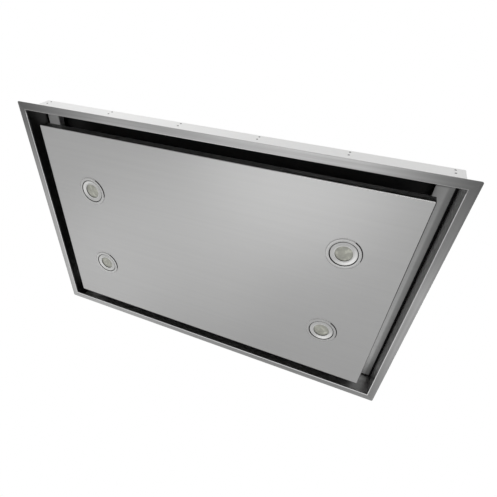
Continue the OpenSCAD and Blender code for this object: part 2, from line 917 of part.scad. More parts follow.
// Bent strips that hang from the deck and hold the magnets
module catch_posts() {
  half = magnet_width / 2;
  outer = half + post_sheet;
  color("dimgray")
    at_catches()
      along_x(post_width)
        polygon([
          [-outer - post_foot, deck_z - post_sheet], [-outer - post_foot, deck_z], [-half, deck_z],
          [-half, post_z + post_sheet], [half, post_z + post_sheet], [half, post_z],
          [-outer, post_z], [-outer, deck_z - post_sheet]
        ]);
}

// Magnets, each a block with two pole plates that face the striker
module catch_magnets() {
  color("black")
    at_catches() {
      translate([-magnet_length / 2, -magnet_width / 2, magnet_z + pole_height])
        cube([magnet_length, magnet_width, magnet_height - pole_height]);
      for (side = [-1, 1])
        translate([-magnet_length / 2, side * magnet_width / 4 - pole_sheet / 2, magnet_z])
          cube([magnet_length, pole_sheet, magnet_height]);
    }
}

// Bell mouth between the plenum and the impeller's eye
module inlet_ring() {
  color("lightgray")
    translate([fan_x, fan_y, scroll_base_top])
      rotate_extrude() {
        translate([throat_r + bell_bend, 0])
          square([bell_flange, throat_wall]);
        translate([throat_r, bell_bend])
          square([throat_wall, throat_rise - bell_bend]);
        translate([throat_r + bell_bend, bell_bend])
          intersection() {
            difference() {
              circle(r = bell_bend);
              circle(r = bell_bend - throat_wall);
            }
            translate([-bell_bend, -bell_bend])
              square(bell_bend);
          }
      }
}

// Radius of the scroll's wall at an angle from the tongue
function scroll_radius(turn) = scroll_start + scroll_growth * turn / scroll_turn;

// Points along the spiral at a distance outside the scroll's wall line
function spiral_points(away) = [
  for (i = [scroll_first_step:scroll_steps])
    let (turn = scroll_turn * i / scroll_steps)
    (scroll_radius(turn) + away) * [cos(turn), sin(turn)]
];

// Outline of the scroll with its outlet leg, at a distance outside the wall line
module scroll_outline(away) {
  polygon(concat(
    [[outlet_reach, away], [scroll_start + away, away]],
    spiral_points(away),
    [[outlet_reach, -scroll_end - away]]
  ));
}

// Spiral housing of the squirrel-cage blower, with its base plate and outlet flanges
module scroll_housing() {
  wall_height = scroll_height - 2 * scroll_sheet;
  color("lightgray")
    translate([fan_x, fan_y, plenum_top]) {
      linear_extrude(scroll_sheet)
        difference() {
          scroll_outline(scroll_foot);
          circle(r = throat_r + bell_bend);
        }
      translate([0, 0, scroll_sheet])
        linear_extrude(wall_height)
          difference() {
            scroll_outline(scroll_sheet);
            scroll_outline(0);
            translate([outlet_reach - overrun, -scroll_end])
              square([2 * overrun, scroll_end]);
          }
      for (edge = [0, -scroll_end - outlet_flange])
        translate([outlet_reach - scroll_sheet, edge, scroll_sheet])
          cube([scroll_sheet, outlet_flange, wall_height]);
    }
}

// Lid of the scroll with a turned-down rim, a hole for the motor and an outlet flange
module scroll_cover() {
  rim = scroll_sheet + cover_clearance;
  color("lightgray")
    translate([fan_x, fan_y, scroll_top]) {
      translate([0, 0, -scroll_sheet])
        linear_extrude(scroll_sheet)
          difference() {
            scroll_outline(rim + scroll_sheet);
            circle(r = motor_r + motor_hole_gap);
          }
      translate([0, 0, -cover_lip])
        linear_extrude(cover_lip)
          difference() {
            scroll_outline(rim + scroll_sheet);
            scroll_outline(rim);
            translate([outlet_reach - cover_lip, -scroll_end - outlet_flange])
              square([cover_lip + overrun, scroll_end + 2 * outlet_flange]);
          }
      translate([outlet_reach - scroll_sheet, -scroll_end, 0])
        cube([scroll_sheet, scroll_end, outlet_flange]);
    }
}

// Places of the motor's lugs round its axis
module at_lugs() {
  for (i = [0:lug_count - 1])
    rotate([0, 0, lug_turn + i * 360 / lug_count])
      translate([motor_r + lug_reach - lug_width / 2, 0, 0])
        children();
}

// Motor can with three lugs, a bearing boss below and a bore for its shaft
module motor() {
  lug_z = scroll_top + motor_stand;
  color("gray")
    translate([fan_x, fan_y, 0])
      difference() {
        union() {
          translate([0, 0, motor_z])
            cylinder(h = lug_z + lug_sheet - motor_z, r = motor_r);
          translate([0, 0, motor_z - boss_height])
            cylinder(h = boss_height, r = boss_r);
          translate([0, 0, lug_z])
            linear_extrude(lug_sheet)
              at_lugs() {
                circle(d = lug_width);
                translate([-lug_reach, -lug_width / 2])
                  square([lug_reach, lug_width]);
              }
        }
        translate([0, 0, motor_z - boss_height - overrun])
          cylinder(h = shaft_depth + boss_height + 2 * overrun, r = shaft_r + running_clearance);
      }
}

// Rubber bushes between the scroll's lid and the motor's lugs
module motor_bushes() {
  color("dimgray")
    translate([fan_x, fan_y, scroll_top])
      at_lugs()
        cylinder(h = motor_stand, r = bush_r);
}

// Vented cap on the motor's upper end
module motor_cap() {
  color("dimgray")
    translate([fan_x, fan_y, scroll_top + motor_stand + lug_sheet])
      difference() {
        rotate_extrude() {
          square([motor_r - cap_bend, cap_height]);
          square([motor_r, cap_height - cap_bend]);
          translate([motor_r - cap_bend, cap_height - cap_bend])
            circle(r = cap_bend);
        }
        translate([0, 0, -overrun])
          cylinder(h = cap_height - cap_wall + overrun, r = motor_r - cap_wall);
        for (i = [0:vent_count - 1])
          rotate([0, 0, i * 360 / vent_count])
            translate([vent_start, -vent_width / 2, 0])
              cube([vent_length, vent_width, cap_height + overrun]);
      }
}

// Hub, dished backplate and eye ring of the squirrel-cage impeller, drawn about its axis
module impeller_discs() {
  dish_r = motor_r + dish_clearance;
  dish_z = motor_z - boss_height - hub_gap - disc_sheet;
  difference() {
    union() {
      translate([0, 0, dish_z])
        cylinder(h = disc_sheet, r = dish_r);
      translate([0, 0, dish_z - hub_length])
        cylinder(h = hub_length, r = hub_r);
    }
    translate([0, 0, dish_z - hub_length - overrun])
      cylinder(h = hub_length + disc_sheet + 2 * overrun, r = shaft_r);
  }
  difference() {
    translate([0, 0, dish_z])
      cylinder(h = impeller_top - dish_z, r = dish_r);
    translate([0, 0, dish_z - overrun])
      cylinder(h = impeller_top - dish_z + 2 * overrun, r = dish_r - disc_sheet);
  }
  translate([0, 0, impeller_top - disc_sheet])
    difference() {
      cylinder(h = disc_sheet, r = impeller_r);
      translate([0, 0, -overrun])
        cylinder(h = disc_sheet + 2 * overrun, r = dish_r - disc_sheet);
    }
  translate([0, 0, impeller_z])
    difference() {
      cylinder(h = eye_ring_height, r = impeller_r);
      translate([0, 0, -overrun])
        cylinder(h = eye_ring_height + 2 * overrun, r = blade_inner);
    }
}

// Curved outline of one forward-swept blade, from the inner to the outer radius
module blade_outline() {
  shares = [for (i = [0:blade_steps]) i / blade_steps];
  inner_side = [
    for (t = shares)
      (blade_inner + blade_depth * t) * [cos(blade_sweep * t * t), sin(blade_sweep * t * t)]
  ];
  outer_side = [
    for (i = [0:blade_steps])
      let (t = shares[blade_steps - i])
      (blade_inner + blade_depth * t) * [cos(blade_sweep * t * t), sin(blade_sweep * t * t)]
        + [0, blade_sheet]
  ];
  polygon(concat(inner_side, outer_side));
}

// Forward-swept blades of the squirrel cage, from the eye ring to the backplate, as separate solids
module impeller_blades() {
  color("silver")
    translate([fan_x, fan_y, impeller_z + eye_ring_height])
      linear_extrude(impeller_height - eye_ring_height - disc_sheet)
        for (i = [0:blade_count - 1])
          rotate([0, 0, i * 360 / blade_count])
            blade_outline();
}

// Discs of the impeller on its axis
module impeller() {
  color("silver")
    translate([fan_x, fan_y, 0])
      impeller_discs();
}

// Motor shaft, from inside the motor to just below the impeller's hub
module motor_shaft() {
  lowest = motor_z - boss_height - hub_gap - disc_sheet - hub_length - shaft_stub;
  color("darkgray")
    translate([fan_x, fan_y, lowest])
      cylinder(h = motor_z + shaft_depth - lowest, r = shaft_r);
}

// Rectangular end of the outlet adapter, as a slab in the plane of the scroll's outlet
module adapter_rectangle(away, length) {
  translate([outlet_x, outlet_y - scroll_end / 2 - away, scroll_base_top - away])
    cube([length, scroll_end + 2 * away, scroll_height - 2 * scroll_sheet + 2 * away]);
}

// Round end of the outlet adapter, as a disc in the plane of the collar
module adapter_circle(radius, length) {
  translate([collar_x - length, outlet_y, duct_z])
    rotate([0, 90, 0])
      cylinder(h = length, r = radius, $fn = adapter_facets);
}

// Square-to-round duct between the scroll's outlet and the collar, flanged at both ends
module outlet_adapter() {
  color("gray")
    difference() {
      union() {
        hull() {
          adapter_rectangle(duct_sheet, duct_sheet);
          adapter_circle(duct_r, adapter_end);
        }
        translate([outlet_x, outlet_y - scroll_end / 2 - outlet_flange, plenum_top])
          cube([duct_sheet, scroll_end + 2 * outlet_flange, scroll_height + outlet_flange]);
        translate([collar_x - duct_sheet, outlet_y, duct_z])
          rotate([0, 90, 0])
            cylinder(h = duct_sheet, r = duct_r + collar_flange);
      }
      hull() {
        translate([-duct_sheet, 0, 0])
          adapter_rectangle(0, duct_sheet);
        adapter_circle(duct_in_r, adapter_end);
      }
      translate([collar_x - adapter_end, outlet_y, duct_z])
        rotate([0, 90, 0])
          cylinder(h = adapter_end + overrun, r = duct_in_r);
    }
}

// Round outlet collar, with a flange, a stiffening bead and two holes for the flaps' pin
module duct_collar() {
  color("gray")
    translate([collar_x, outlet_y, duct_z])
      difference() {
        rotate([0, 90, 0])
          rotate_extrude() {
            translate([duct_in_r, 0])
              square([duct_sheet, collar_length]);
            translate([duct_in_r, 0])
              square([duct_sheet + collar_flange, duct_sheet]);
            translate([duct_in_r + duct_sheet / 2, bead_place])
              difference() {
                circle(r = bead_height);
                translate([duct_sheet / 2, -bead_height])
                  square(2 * bead_height);
              }
          }
        translate([flap_x - collar_x, 0, 0])
          cylinder(h = 2 * (duct_r + overrun), r = flap_pin_r, center = true);
      }
}

// Upright pin across the collar
module flap_pin() {
  color("darkgray")
    translate([flap_x, outlet_y, duct_z])
      cylinder(h = duct_diameter - 2 * flap_pin_setback, r = flap_pin_r, center = true);
}

// One half-disc flap with its knuckles round the pin, drawn for the side towards +Y
module flap(knuckle_shares) {
  edge = knuckle_r + knuckle_gap;
  difference() {
    union() {
      rotate([0, 90, 0])
        linear_extrude(flap_sheet, center = true)
          intersection() {
            circle(r = flap_r);
            translate([-flap_r, edge])
              square([2 * flap_r, flap_r]);
          }
      for (share = knuckle_shares)
        translate([0, 0, share * flap_r]) {
          cylinder(h = knuckle_length, r = knuckle_r, center = true);
          translate([-flap_sheet / 2, 0, -knuckle_length / 2])
            cube([flap_sheet, 2 * edge, knuckle_length]);
        }
    }
    cylinder(h = 2 * flap_r, r = flap_bore, center = true);
  }
}

// Backdraught flap towards the photographed side
module flap_front() {
  color("gainsboro")
    translate([flap_x, outlet_y, duct_z])
      mirror([0, 1, 0])
        flap(front_knuckle_shares);
}

// Backdraught flap towards the far side
module flap_back() {
  color("gainsboro")
    translate([flap_x, outlet_y, duct_z])
      flap(back_knuckle_shares);
}

// Control box, open above, with a rim turned in under its lid and a hole for the cable gland
module control_box() {
  inner_x = box_length - 2 * box_sheet;
  inner_y = box_depth - 2 * box_sheet;
  color("lightgray")
    translate([box_x, 0, plenum_top])
      difference() {
        linear_extrude(box_height)
          square([box_length, box_depth], center = true);
        translate([0, 0, box_sheet])
          linear_extrude(box_height - 2 * box_sheet)
            square([inner_x, inner_y], center = true);
        translate([0, 0, box_sheet])
          linear_extrude(box_height)
            square([inner_x - 2 * box_flange, inner_y - 2 * box_flange], center = true);
        translate([gland_shift, -box_depth / 2 - overrun, box_height / 2])
          rotate([-90, 0, 0])
            cylinder(h = box_sheet + 2 * overrun, r = gland_thread_r);
      }
}

// Lid of the control box with a turned-down rim
module control_box_lid() {
  length = box_length + 2 * (lid_clearance + box_sheet);
  depth = box_depth + 2 * (lid_clearance + box_sheet);
  color("lightgray")
    translate([box_x, 0, plenum_top + box_height])
      difference() {
        translate([0, 0, -lid_rim])
          linear_extrude(lid_rim + box_sheet)
            square([length, depth], center = true);
        translate([0, 0, -lid_rim - overrun])
          linear_extrude(lid_rim + overrun)
            square([length - 2 * box_sheet, depth - 2 * box_sheet], center = true);
        translate([gland_shift - gland_flat, -depth, -lid_rim - overrun])
          cube([2 * gland_flat, depth / 2 + box_depth / 2, lid_rim - box_sheet]);
      }
}

// Control board on four standoffs, with its relays, fuse and transformer
module control_board() {
  board_x = (box_length - board_length) / 2 - box_sheet - board_gap;
  board_y = (box_depth - board_depth) / 2 - box_sheet - board_gap;
  parts_z = standoff + board_sheet;
  color("seagreen")
    translate([box_x + board_x, board_y, plenum_top + box_sheet]) {
      translate([-board_length / 2, -board_depth / 2, standoff])
        cube([board_length, board_depth, board_sheet]);
      for (x = [-1, 1], y = [-1, 1])
        translate([x * (board_length / 2 - 2 * standoff_r), y * (board_depth / 2 - 2 * standoff_r), 0])
          cylinder(h = standoff, r = standoff_r);
      for (i = [-1, 0, 1])
        translate([i * board_length / 4 - relay_size.x / 2, -board_depth / 2 + board_gap, parts_z])
          cube(relay_size);
      translate([-board_length / 2 + board_gap, board_gap, parts_z])
        cube(transformer_size);
      translate([board_gap, board_gap, parts_z])
        cube(fuse_size);
    }
}

// Run capacitor of the blower motor, lying on the box's floor
module run_capacitor() {
  r = capacitor_diameter / 2;
  color("white")
    translate([box_x - box_length / 2 + box_sheet + capacitor_gap + r, 0, plenum_top + box_sheet + r])
      rotate([90, 0, 0]) {
        cylinder(h = capacitor_length, r = r, center = true);
        cylinder(h = capacitor_length + 2 * capacitor_stud, r = r / 3, center = true);
      }
}

// Terminal block beside the gland, with a stepped outline and one wire hole to each way
module terminal_block() {
  length = terminal_ways * terminal_pitch;
  color("ivory")
    translate([box_x + gland_shift, -box_depth / 2 + box_sheet + terminal_gap, plenum_top + box_sheet])
      difference() {
        along_x(length)
          polygon([
            [0, 0], [terminal_depth, 0], [terminal_depth, terminal_height / 2],
            [terminal_depth * 2 / 3, terminal_height], [terminal_depth / 3, terminal_height],
            [0, terminal_height / 2]
          ]);
        for (i = [0:terminal_ways - 1])
          translate([(i + 1 / 2) * terminal_pitch - length / 2, -overrun, terminal_height / 4])
            rotate([-90, 0, 0])
              cylinder(h = terminal_depth / 3, r = wire_hole_r);
      }
}

// Cable gland in the control box's near wall: locknut inside, hexagon and domed nose outside
module cable_gland() {
  color("dimgray")
    translate([box_x + gland_shift, -box_depth / 2, plenum_top + box_height / 2])
      rotate([90, 0, 0])
        difference() {
          union() {
            translate([0, 0, -box_sheet - gland_nut])
              cylinder(h = box_sheet + gland_nut + gland_nut, r = gland_thread_r);
            translate([0, 0, -box_sheet - gland_nut])
              cylinder(h = gland_nut, d = gland_flat / cos(30), $fn = 6);
            cylinder(h = gland_nut, d = gland_flat / cos(30), $fn = 6);
            translate([0, 0, gland_nut])
              cylinder(h = gland_nose, r1 = gland_r, r2 = gland_tip_r);
          }
          translate([0, 0, -box_sheet - gland_nut - overrun])
            cylinder(h = box_sheet + 2 * gland_nut + gland_nose + 2 * overrun, d = gland_bore);
        }
}

// Screws of the control box's lid and of the lamp driver's ears
module box_screws() {
  edge = box_flange / 2 + box_sheet;
  color("darkgray") {
    for (x = [-1, 1], y = [-1, 1])
      translate([box_x + x * (box_length / 2 - edge), y * (box_depth / 2 - edge),
        plenum_top + box_height + box_sheet])
        cylinder(h = screw_head, r1 = screw_head_r, r2 = screw_head_r * 2 / 3);
    for (x = [-1, 1])
      translate([driver_x + x * (driver_length + driver_ear) / 2, driver_y, plenum_top + driver_ear_sheet])
        cylinder(h = screw_head, r1 = screw_head_r, r2 = screw_head_r * 2 / 3);
  }
}

// Supply of the spot lamps, a sealed box with stepped ends and two ears
module lamp_driver() {
  color("whitesmoke")
    translate([driver_x, driver_y, plenum_top]) {
      translate([-driver_length / 2 - driver_ear, -driver_depth / 3, 0])
        cube([driver_length + 2 * driver_ear, driver_depth * 2 / 3, driver_ear_sheet]);
      rotate([90, 0, 0])
        linear_extrude(driver_depth, center = true)
          polygon([
            [-driver_length / 2, 0], [driver_length / 2, 0],
            [driver_length / 2, driver_height - driver_step],
            [driver_length / 2 - driver_step, driver_height],
            [driver_step - driver_length / 2, driver_height],
            [-driver_length / 2, driver_height - driver_step]
          ]);
    }
}

// Places of the four lamps
module at_lamps() {
  for (x = [-1, 1], y = [-1, 1])
    translate([x * lamp_x, y * lamp_y, 0])
      children();
}

// Flush panel: a tray with its lip turned in, pierced for the four lamps
module panel_skin() {
  inner_x = panel_x - panel_sheet;
  inner_y = panel_y - panel_sheet;
  color("silver")
    difference() {
      translate([0, 0, face_z])
        linear_extrude(return_height)
          rounded_rectangle(2 * panel_x, 2 * panel_y, panel_corner_radius);
      translate([0, 0, skin_top])
        linear_extrude(return_height - 2 * panel_sheet)
          rounded_rectangle(2 * inner_x, 2 * inner_y, panel_corner_radius - panel_sheet);
      translate([0, 0, skin_top])
        linear_extrude(return_height)
          square([2 * (panel_x - lip_width), 2 * (panel_y - lip_width)], center = true);
      translate([0, 0, face_z - overrun])
        at_lamps()
          cylinder(h = panel_sheet + 2 * overrun, r = neck_outer + lamp_hole_clearance);
    }
}

// Profile of a hat-section channel that stands on its two feet
module channel_profile() {
  crest = channel_top / 2;
  knee = crest + channel_slope;
  foot = knee + channel_foot;
  sheet = channel_sheet;
  polygon([
    [-foot, 0], [-foot, sheet], [-knee, sheet], [-crest, channel_height], [crest, channel_height],
    [knee, sheet], [foot, sheet], [foot, 0], [knee - sheet, 0], [crest - sheet, channel_height - sheet],
    [sheet - crest, channel_height - sheet], [sheet - knee, 0]
  ]);
}

// Three stiffening channels on the back of the panel
module panel_channels() {
  color("silver")
    for (place = [-1, 0, 1])
      translate([0, place * channel_y, skin_top])
        along_x(2 * (panel_x - channel_end_gap))
          channel_profile();
}

// Moving half of both hinges: a foot on the panel, two webs and a bored barrel
module hinge_leaves() {
  foot_z = skin_top - hinge_z;
  color("silver")
    for (side = [-1, 1])
      translate([side * hinge_x, hinge_y, hinge_z])
        difference() {
          union() {
            rotate([0, 90, 0])
              cylinder(h = barrel_length, r = barrel_r, center = true);
            for (web = [-1, 1])
              translate([web * (barrel_length - leaf_web) / 2, 0, 0])
                along_x(leaf_web)
                  polygon([[-leaf_foot, foot_z], [0, foot_z], [0, 0], [-barrel_r, 0]]);
            translate([-barrel_length / 2 - leaf_ear, -leaf_foot, foot_z])
              cube([barrel_length + 2 * leaf_ear, leaf_foot, leaf_sheet]);
          }
          rotate([0, 90, 0])
            cylinder(h = barrel_length + 2 * overrun, r = pin_r + running_clearance, center = true);
        }
}

// Steel plates on the near channel that the magnets hold
module striker_plates() {
  color("darkgray")
    at_catches()
      translate([-striker_length / 2, -magnet_width / 2, skin_top + channel_height])
        cube([striker_length, magnet_width, striker_sheet]);
}

// Bezels of the spot lamps: a flange below the panel and a neck through it
module lamp_bezels() {
  low = face_z - bezel_thickness;
  bezel_r = bezel_diameter / 2;
  color("gainsboro")
    at_lamps()
      rotate_extrude()
        polygon([
          [neck_inner, low], [bezel_r - bezel_chamfer, low], [bezel_r, low + bezel_chamfer],
          [bezel_r, face_z], [neck_outer, face_z], [neck_outer, neck_top], [neck_inner, neck_top]
        ]);
}

// Inner rings of the lamps, slightly dished towards the lens
module lamp_rings() {
  outer = lamp_ring_diameter / 2;
  inner = lens_diameter / 2;
  low = face_z - ring_stand;
  color("silver")
    at_lamps()
      rotate_extrude()
        polygon([
          [inner, low + ring_crown], [outer - ring_crown, low], [outer, low + ring_crown / 2],
          [outer, neck_top], [outer - ring_wall, neck_top], [inner, low + ring_crown + lens_thickness]
        ]);
}

// Round lenses in the lamp rings
module lamp_lenses() {
  color("white")
    at_lamps()
      translate([0, 0, face_z - ring_stand + ring_crown])
        cylinder(h = lens_thickness, r = lens_diameter / 2);
}

// Finned aluminium heat sinks that close the lamps above
module lamp_heat_sinks() {
  core = heat_sink_diameter / 2 * sink_core_share;
  color("gray")
    at_lamps()
      translate([0, 0, neck_top]) {
        cylinder(h = sink_base, r = neck_outer);
        cylinder(h = heat_sink_height, r = core);
        linear_extrude(heat_sink_height)
          for (i = [0:fin_count - 1])
            rotate([0, 0, i * 360 / fin_count])
              translate([0, -fin_sheet / 2])
                square([heat_sink_diameter / 2, fin_sheet]);
      }
}

// Sprung clips that draw each lamp up against the panel, two to a lamp
module lamp_clips() {
  top = neck_top - clip_sheet;
  color("lightsteelblue")
    at_lamps()
      for (end = [0, 180])
        rotate([0, 0, lamp_clip_turn + end])
          rotate([90, 0, 0])
            linear_extrude(clip_strip, center = true)
              polygon([
                [neck_outer, top], [neck_outer + clip_sheet, top],
                [neck_outer + clip_spread, skin_top + clip_sheet],
                [neck_outer + clip_spread + clip_reach, skin_top + clip_sheet],
                [neck_outer + clip_spread + clip_reach, skin_top],
                [neck_outer + clip_spread - clip_sheet, skin_top], [neck_outer, top - 2 * clip_sheet]
              ]);
}

ceiling_frame();
casing();
casing_rivets();
ledge_liner();
liner_seal();
plenum_box();
filter_deck();
filter_clips();
hanger_brackets();
hanger_screws();
hinge_brackets();
hinge_pins();
catch_posts();
catch_magnets();
inlet_ring();
scroll_housing();
scroll_cover();
motor();
motor_bushes();
motor_cap();
outlet_adapter();
duct_collar();
flap_pin();
flap_front();
flap_back();
impeller();
impeller_blades();
motor_shaft();
control_box();
control_box_lid();
control_board();
run_capacitor();
terminal_block();
cable_gland();
box_screws();
lamp_driver();
panel_skin();
panel_channels();
hinge_leaves();
striker_plates();
lamp_bezels();
lamp_rings();
lamp_lenses();
lamp_heat_sinks();
lamp_clips();
filter_frame(-1);  // filter_frame_left
filter_mesh(-1);  // filter_mesh_left
filter_handle(-1);  // filter_handle_left
filter_frame(0);  // filter_frame_middle
filter_mesh(0);  // filter_mesh_middle
filter_handle(0);  // filter_handle_middle
filter_frame(1);  // filter_frame_right
filter_mesh(1);  // filter_mesh_right
filter_handle(1);  // filter_handle_right
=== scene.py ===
"""Looks of a shallow ceiling range hood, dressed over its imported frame.

Lengths are metres in the shared frame: +Z up into the ceiling, X along the hood's long side, and the
photographed long side towards -Y. The visible face lies at z = -0.002.
"""

import logging
import math
from collections.abc import Callable, Iterable, Sequence
from dataclasses import dataclass
from enum import Enum

import bmesh
import bpy
from mathutils import Matrix, Vector


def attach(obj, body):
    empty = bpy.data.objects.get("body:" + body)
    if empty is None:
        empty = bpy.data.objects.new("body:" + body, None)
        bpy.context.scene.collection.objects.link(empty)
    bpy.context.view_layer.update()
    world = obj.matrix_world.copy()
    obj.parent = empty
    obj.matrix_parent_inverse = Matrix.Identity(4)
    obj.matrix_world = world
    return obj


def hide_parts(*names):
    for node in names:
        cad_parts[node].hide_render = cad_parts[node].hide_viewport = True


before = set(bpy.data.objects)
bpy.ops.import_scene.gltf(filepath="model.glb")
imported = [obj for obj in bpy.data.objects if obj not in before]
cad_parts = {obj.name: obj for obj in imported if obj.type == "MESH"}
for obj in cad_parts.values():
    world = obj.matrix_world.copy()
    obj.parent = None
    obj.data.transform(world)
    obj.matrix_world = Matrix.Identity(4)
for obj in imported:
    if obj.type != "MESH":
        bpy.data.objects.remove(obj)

log = logging.getLogger("range_hood")

Point = tuple[float, float, float]
Colour = tuple[float, float, float]
Profile = Sequence[tuple[float, float]]
Ramp = tuple[float, float, float, float]
Shape = bmesh.types.BMesh
Edge = bmesh.types.BMEdge
Face = bpy.types.MeshPolygon
Piece = bpy.types.Object
Material = bpy.types.Material
Tree = bpy.types.NodeTree
Node = bpy.types.Node
Socket = bpy.types.NodeSocket
Sockets = bpy.types.bpy_prop_collection

FACE = -0.002
FRAME_HALF_X, FRAME_HALF_Y = 0.550, 0.350
PLENUM_HALF_X, PLENUM_HALF_Y, PLENUM_TOP = 0.490, 0.304, 0.152
WITHIN_SHEET = 0.00055
UPRIGHT_TILT, FLAT_TILT = 0.05, 0.998
LEVEL_WITHIN, RIM_WITHIN, STRAIGHT_WITHIN = 2e-5, 5e-5, 1e-4
WELD_WITHIN, POLE_WITHIN = 2e-6, 1e-7
FLAT_WITHIN = math.radians(0.3)
FOLD_ANGLE = 1.0
SIDES = (-1, 1)
FILTER_PLACES: dict[str, int] = {"left": -1, "middle": 0, "right": 1}


# ---- meshes ----


def add_object(name: str, mesh: bpy.types.Mesh) -> Piece:
    """Link a new object at the origin.

    Args:
        name: Name of the piece.
        mesh: Its mesh, already in place.

    Returns:
        The new object.
    """
    obj = bpy.data.objects.new(name, mesh)
    bpy.context.scene.collection.objects.link(obj)
    return obj


def mesh_from(bm: Shape, name: str, smooth_below: float = 35.0) -> bpy.types.Mesh:
    """Turn a bmesh into a mesh that is smooth up to an angle.

    Args:
        bm: The bmesh, which is freed.
        name: Name of the mesh.
        smooth_below: Edges that turn by more than this many degrees stay sharp.

    Returns:
        The new mesh.
    """
    mesh = bpy.data.meshes.new(name)
    bm.to_mesh(mesh)
    bm.free()
    mesh.polygons.foreach_set("use_smooth", [smooth_below > 0.0] * len(mesh.polygons))
    if smooth_below > 0.0:
        mesh.set_sharp_from_angle(angle=math.radians(smooth_below))
    mesh.update()
    return mesh


def lathe(bm: Shape, profile: Profile, place: Point, segments: int = 96) -> None:
    """Revolve a closed profile about an upright axis.

    Args:
        bm: The bmesh that takes the faces.
        profile: Points (radius, height) of a closed outline.
        place: Foot of the axis.
        segments: Steps round the axis.
    """
    rings: list[list[bmesh.types.BMVert]] = []
    for step in range(segments):
        turn = 2.0 * math.pi * step / segments
        rings.append([
            bm.verts.new((place[0] + r * math.cos(turn), place[1] + r * math.sin(turn), place[2] + z))
            for r, z in profile
        ])
    count = len(profile)
    faces = []
    for step in range(segments):
        here, there = rings[step], rings[(step + 1) % segments]
        for i in range(count):
            j = (i + 1) % count
            faces.append(bm.faces.new((here[i], there[i], there[j], here[j])))
    bmesh.ops.remove_doubles(bm, verts=bm.verts, dist=POLE_WITHIN)
    bmesh.ops.recalc_face_normals(bm, faces=[f for f in faces if f.is_valid])


def fillet(profile: Profile, radii: Sequence[float], steps: int = 5) -> list[tuple[float, float]]:
    """Round the corners of a closed outline.

    Args:
        profile: Corner points.
        radii: Rounding at each corner, nought where it stays sharp.
        steps: Points on each rounded corner.

    Returns:
        The outline with its rounded corners.
    """
    made: list[tuple[float, float]] = []
    count = len(profile)
    for i, (corner, radius) in enumerate(zip(profile, radii)):
        if radius <= 0.0:
            made.append(tuple(corner))
            continue
        here = Vector(corner)
        before = (Vector(profile[i - 1]) - here).normalized()
        after = (Vector(profile[(i + 1) % count]) - here).normalized()
        half = before.angle(after) / 2.0
        reach = radius / math.tan(half)
        middle = here + (before + after).normalized() * (radius / math.sin(half))
        start = here + before * reach - middle
        end = here + after * reach - middle
        sweep = start.angle_signed(end)
        for step in range(steps + 1):
            turned = start.copy()
            turned.rotate(Matrix.Rotation(-sweep * step / steps, 2))
            made.append(tuple(middle + turned))
    return made


def merged_copy(node: str) -> Shape:
    """Copy a CAD node's mesh, join its loose triangles and clear its flat faces of inner edges.

    Args:
        node: Name of the CAD node.

    Returns:
        The copy.
    """
    bm = bmesh.new()
    bm.from_mesh(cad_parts[node].data)
    bmesh.ops.remove_doubles(bm, verts=bm.verts, dist=WELD_WITHIN)
    bmesh.ops.dissolve_limit(bm, angle_limit=FLAT_WITHIN, verts=bm.verts, edges=bm.edges)
    return bm


def soften(bm: Shape, chosen: Callable[[Edge], bool], width: float, segments: int = 4) -> None:
    """Round the bends of folded sheet.

    Args:
        bm: The bmesh.
        chosen: Says of an edge whether it is rounded.
        width: Reach of the rounding from the edge.
        segments: Faces across the rounding.
    """
    edges = [e for e in bm.edges if len(e.link_faces) == 2 and e.calc_face_angle(0.0) > FOLD_ANGLE and chosen(e)]
    if edges:
        bmesh.ops.bevel(bm, geom=edges, offset=width, offset_type="OFFSET", segments=segments, profile=0.5,
                        affect="EDGES", clamp_overlap=True)


def on_level(edge: Edge, level: float) -> bool:
    """Say whether an edge lies flat at a height."""
    return all(abs(v.co.z - level) < LEVEL_WITHIN for v in edge.verts)


def on_rim(edge: Edge, half_x: float, half_y: float) -> bool:
    """Say whether an edge lies on the outline of a rectangle.

    Args:
        edge: The edge.
        half_x: Half the rectangle's size along X.
        half_y: Half its size along Y.

    Returns:
        Whether it does.
    """
    one, two = (v.co for v in edge.verts)
    beside_x = all(abs(abs(end.x) - half_x) < RIM_WITHIN for end in (one, two))
    beside_y = all(abs(abs(end.y) - half_y) < RIM_WITHIN for end in (one, two))
    return (beside_x and abs(one.x - two.x) < STRAIGHT_WITHIN) or (beside_y and abs(one.y - two.y) < STRAIGHT_WITHIN)


def near_rim(edge: Edge, half_x: float, half_y: float, reach: float) -> bool:
    """Say whether an edge lies beside the outline of a rectangle, its rounded corners included."""
    return all(abs(v.co.x) > half_x - reach or abs(v.co.y) > half_y - reach for v in edge.verts)


def baked(obj: Piece) -> Piece:
    """Replace an object's mesh by its evaluated mesh and drop its modifiers.

    Args:
        obj: The object.

    Returns:
        The same object.
    """
    bpy.context.view_layer.update()
    evaluated = obj.evaluated_get(bpy.context.evaluated_depsgraph_get())
    mesh = bpy.data.meshes.new_from_object(evaluated)
    obj.modifiers.clear()
    obj.data = mesh
    return obj


def sheet_piece(bm: Shape, name: str) -> Piece:
    """Make a piece of folded sheet whose large faces stay flat beside its rounded bends.

    Args:
        bm: The bmesh, which is freed.
        name: Name of the piece.

    Returns:
        The new object.
    """
    obj = add_object(name, mesh_from(bm, name, 50.0))
    weighted = obj.modifiers.new("flat_faces", "WEIGHTED_NORMAL")
    weighted.keep_sharp = True
    weighted.weight = 100
    return baked(obj)


def dress(material: Material, *nodes: str) -> None:
    """Give CAD nodes that are shown as they are a material in place of their plain one."""
    for node in nodes:
        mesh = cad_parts[node].data
        mesh.materials.clear()
        mesh.materials.append(material)


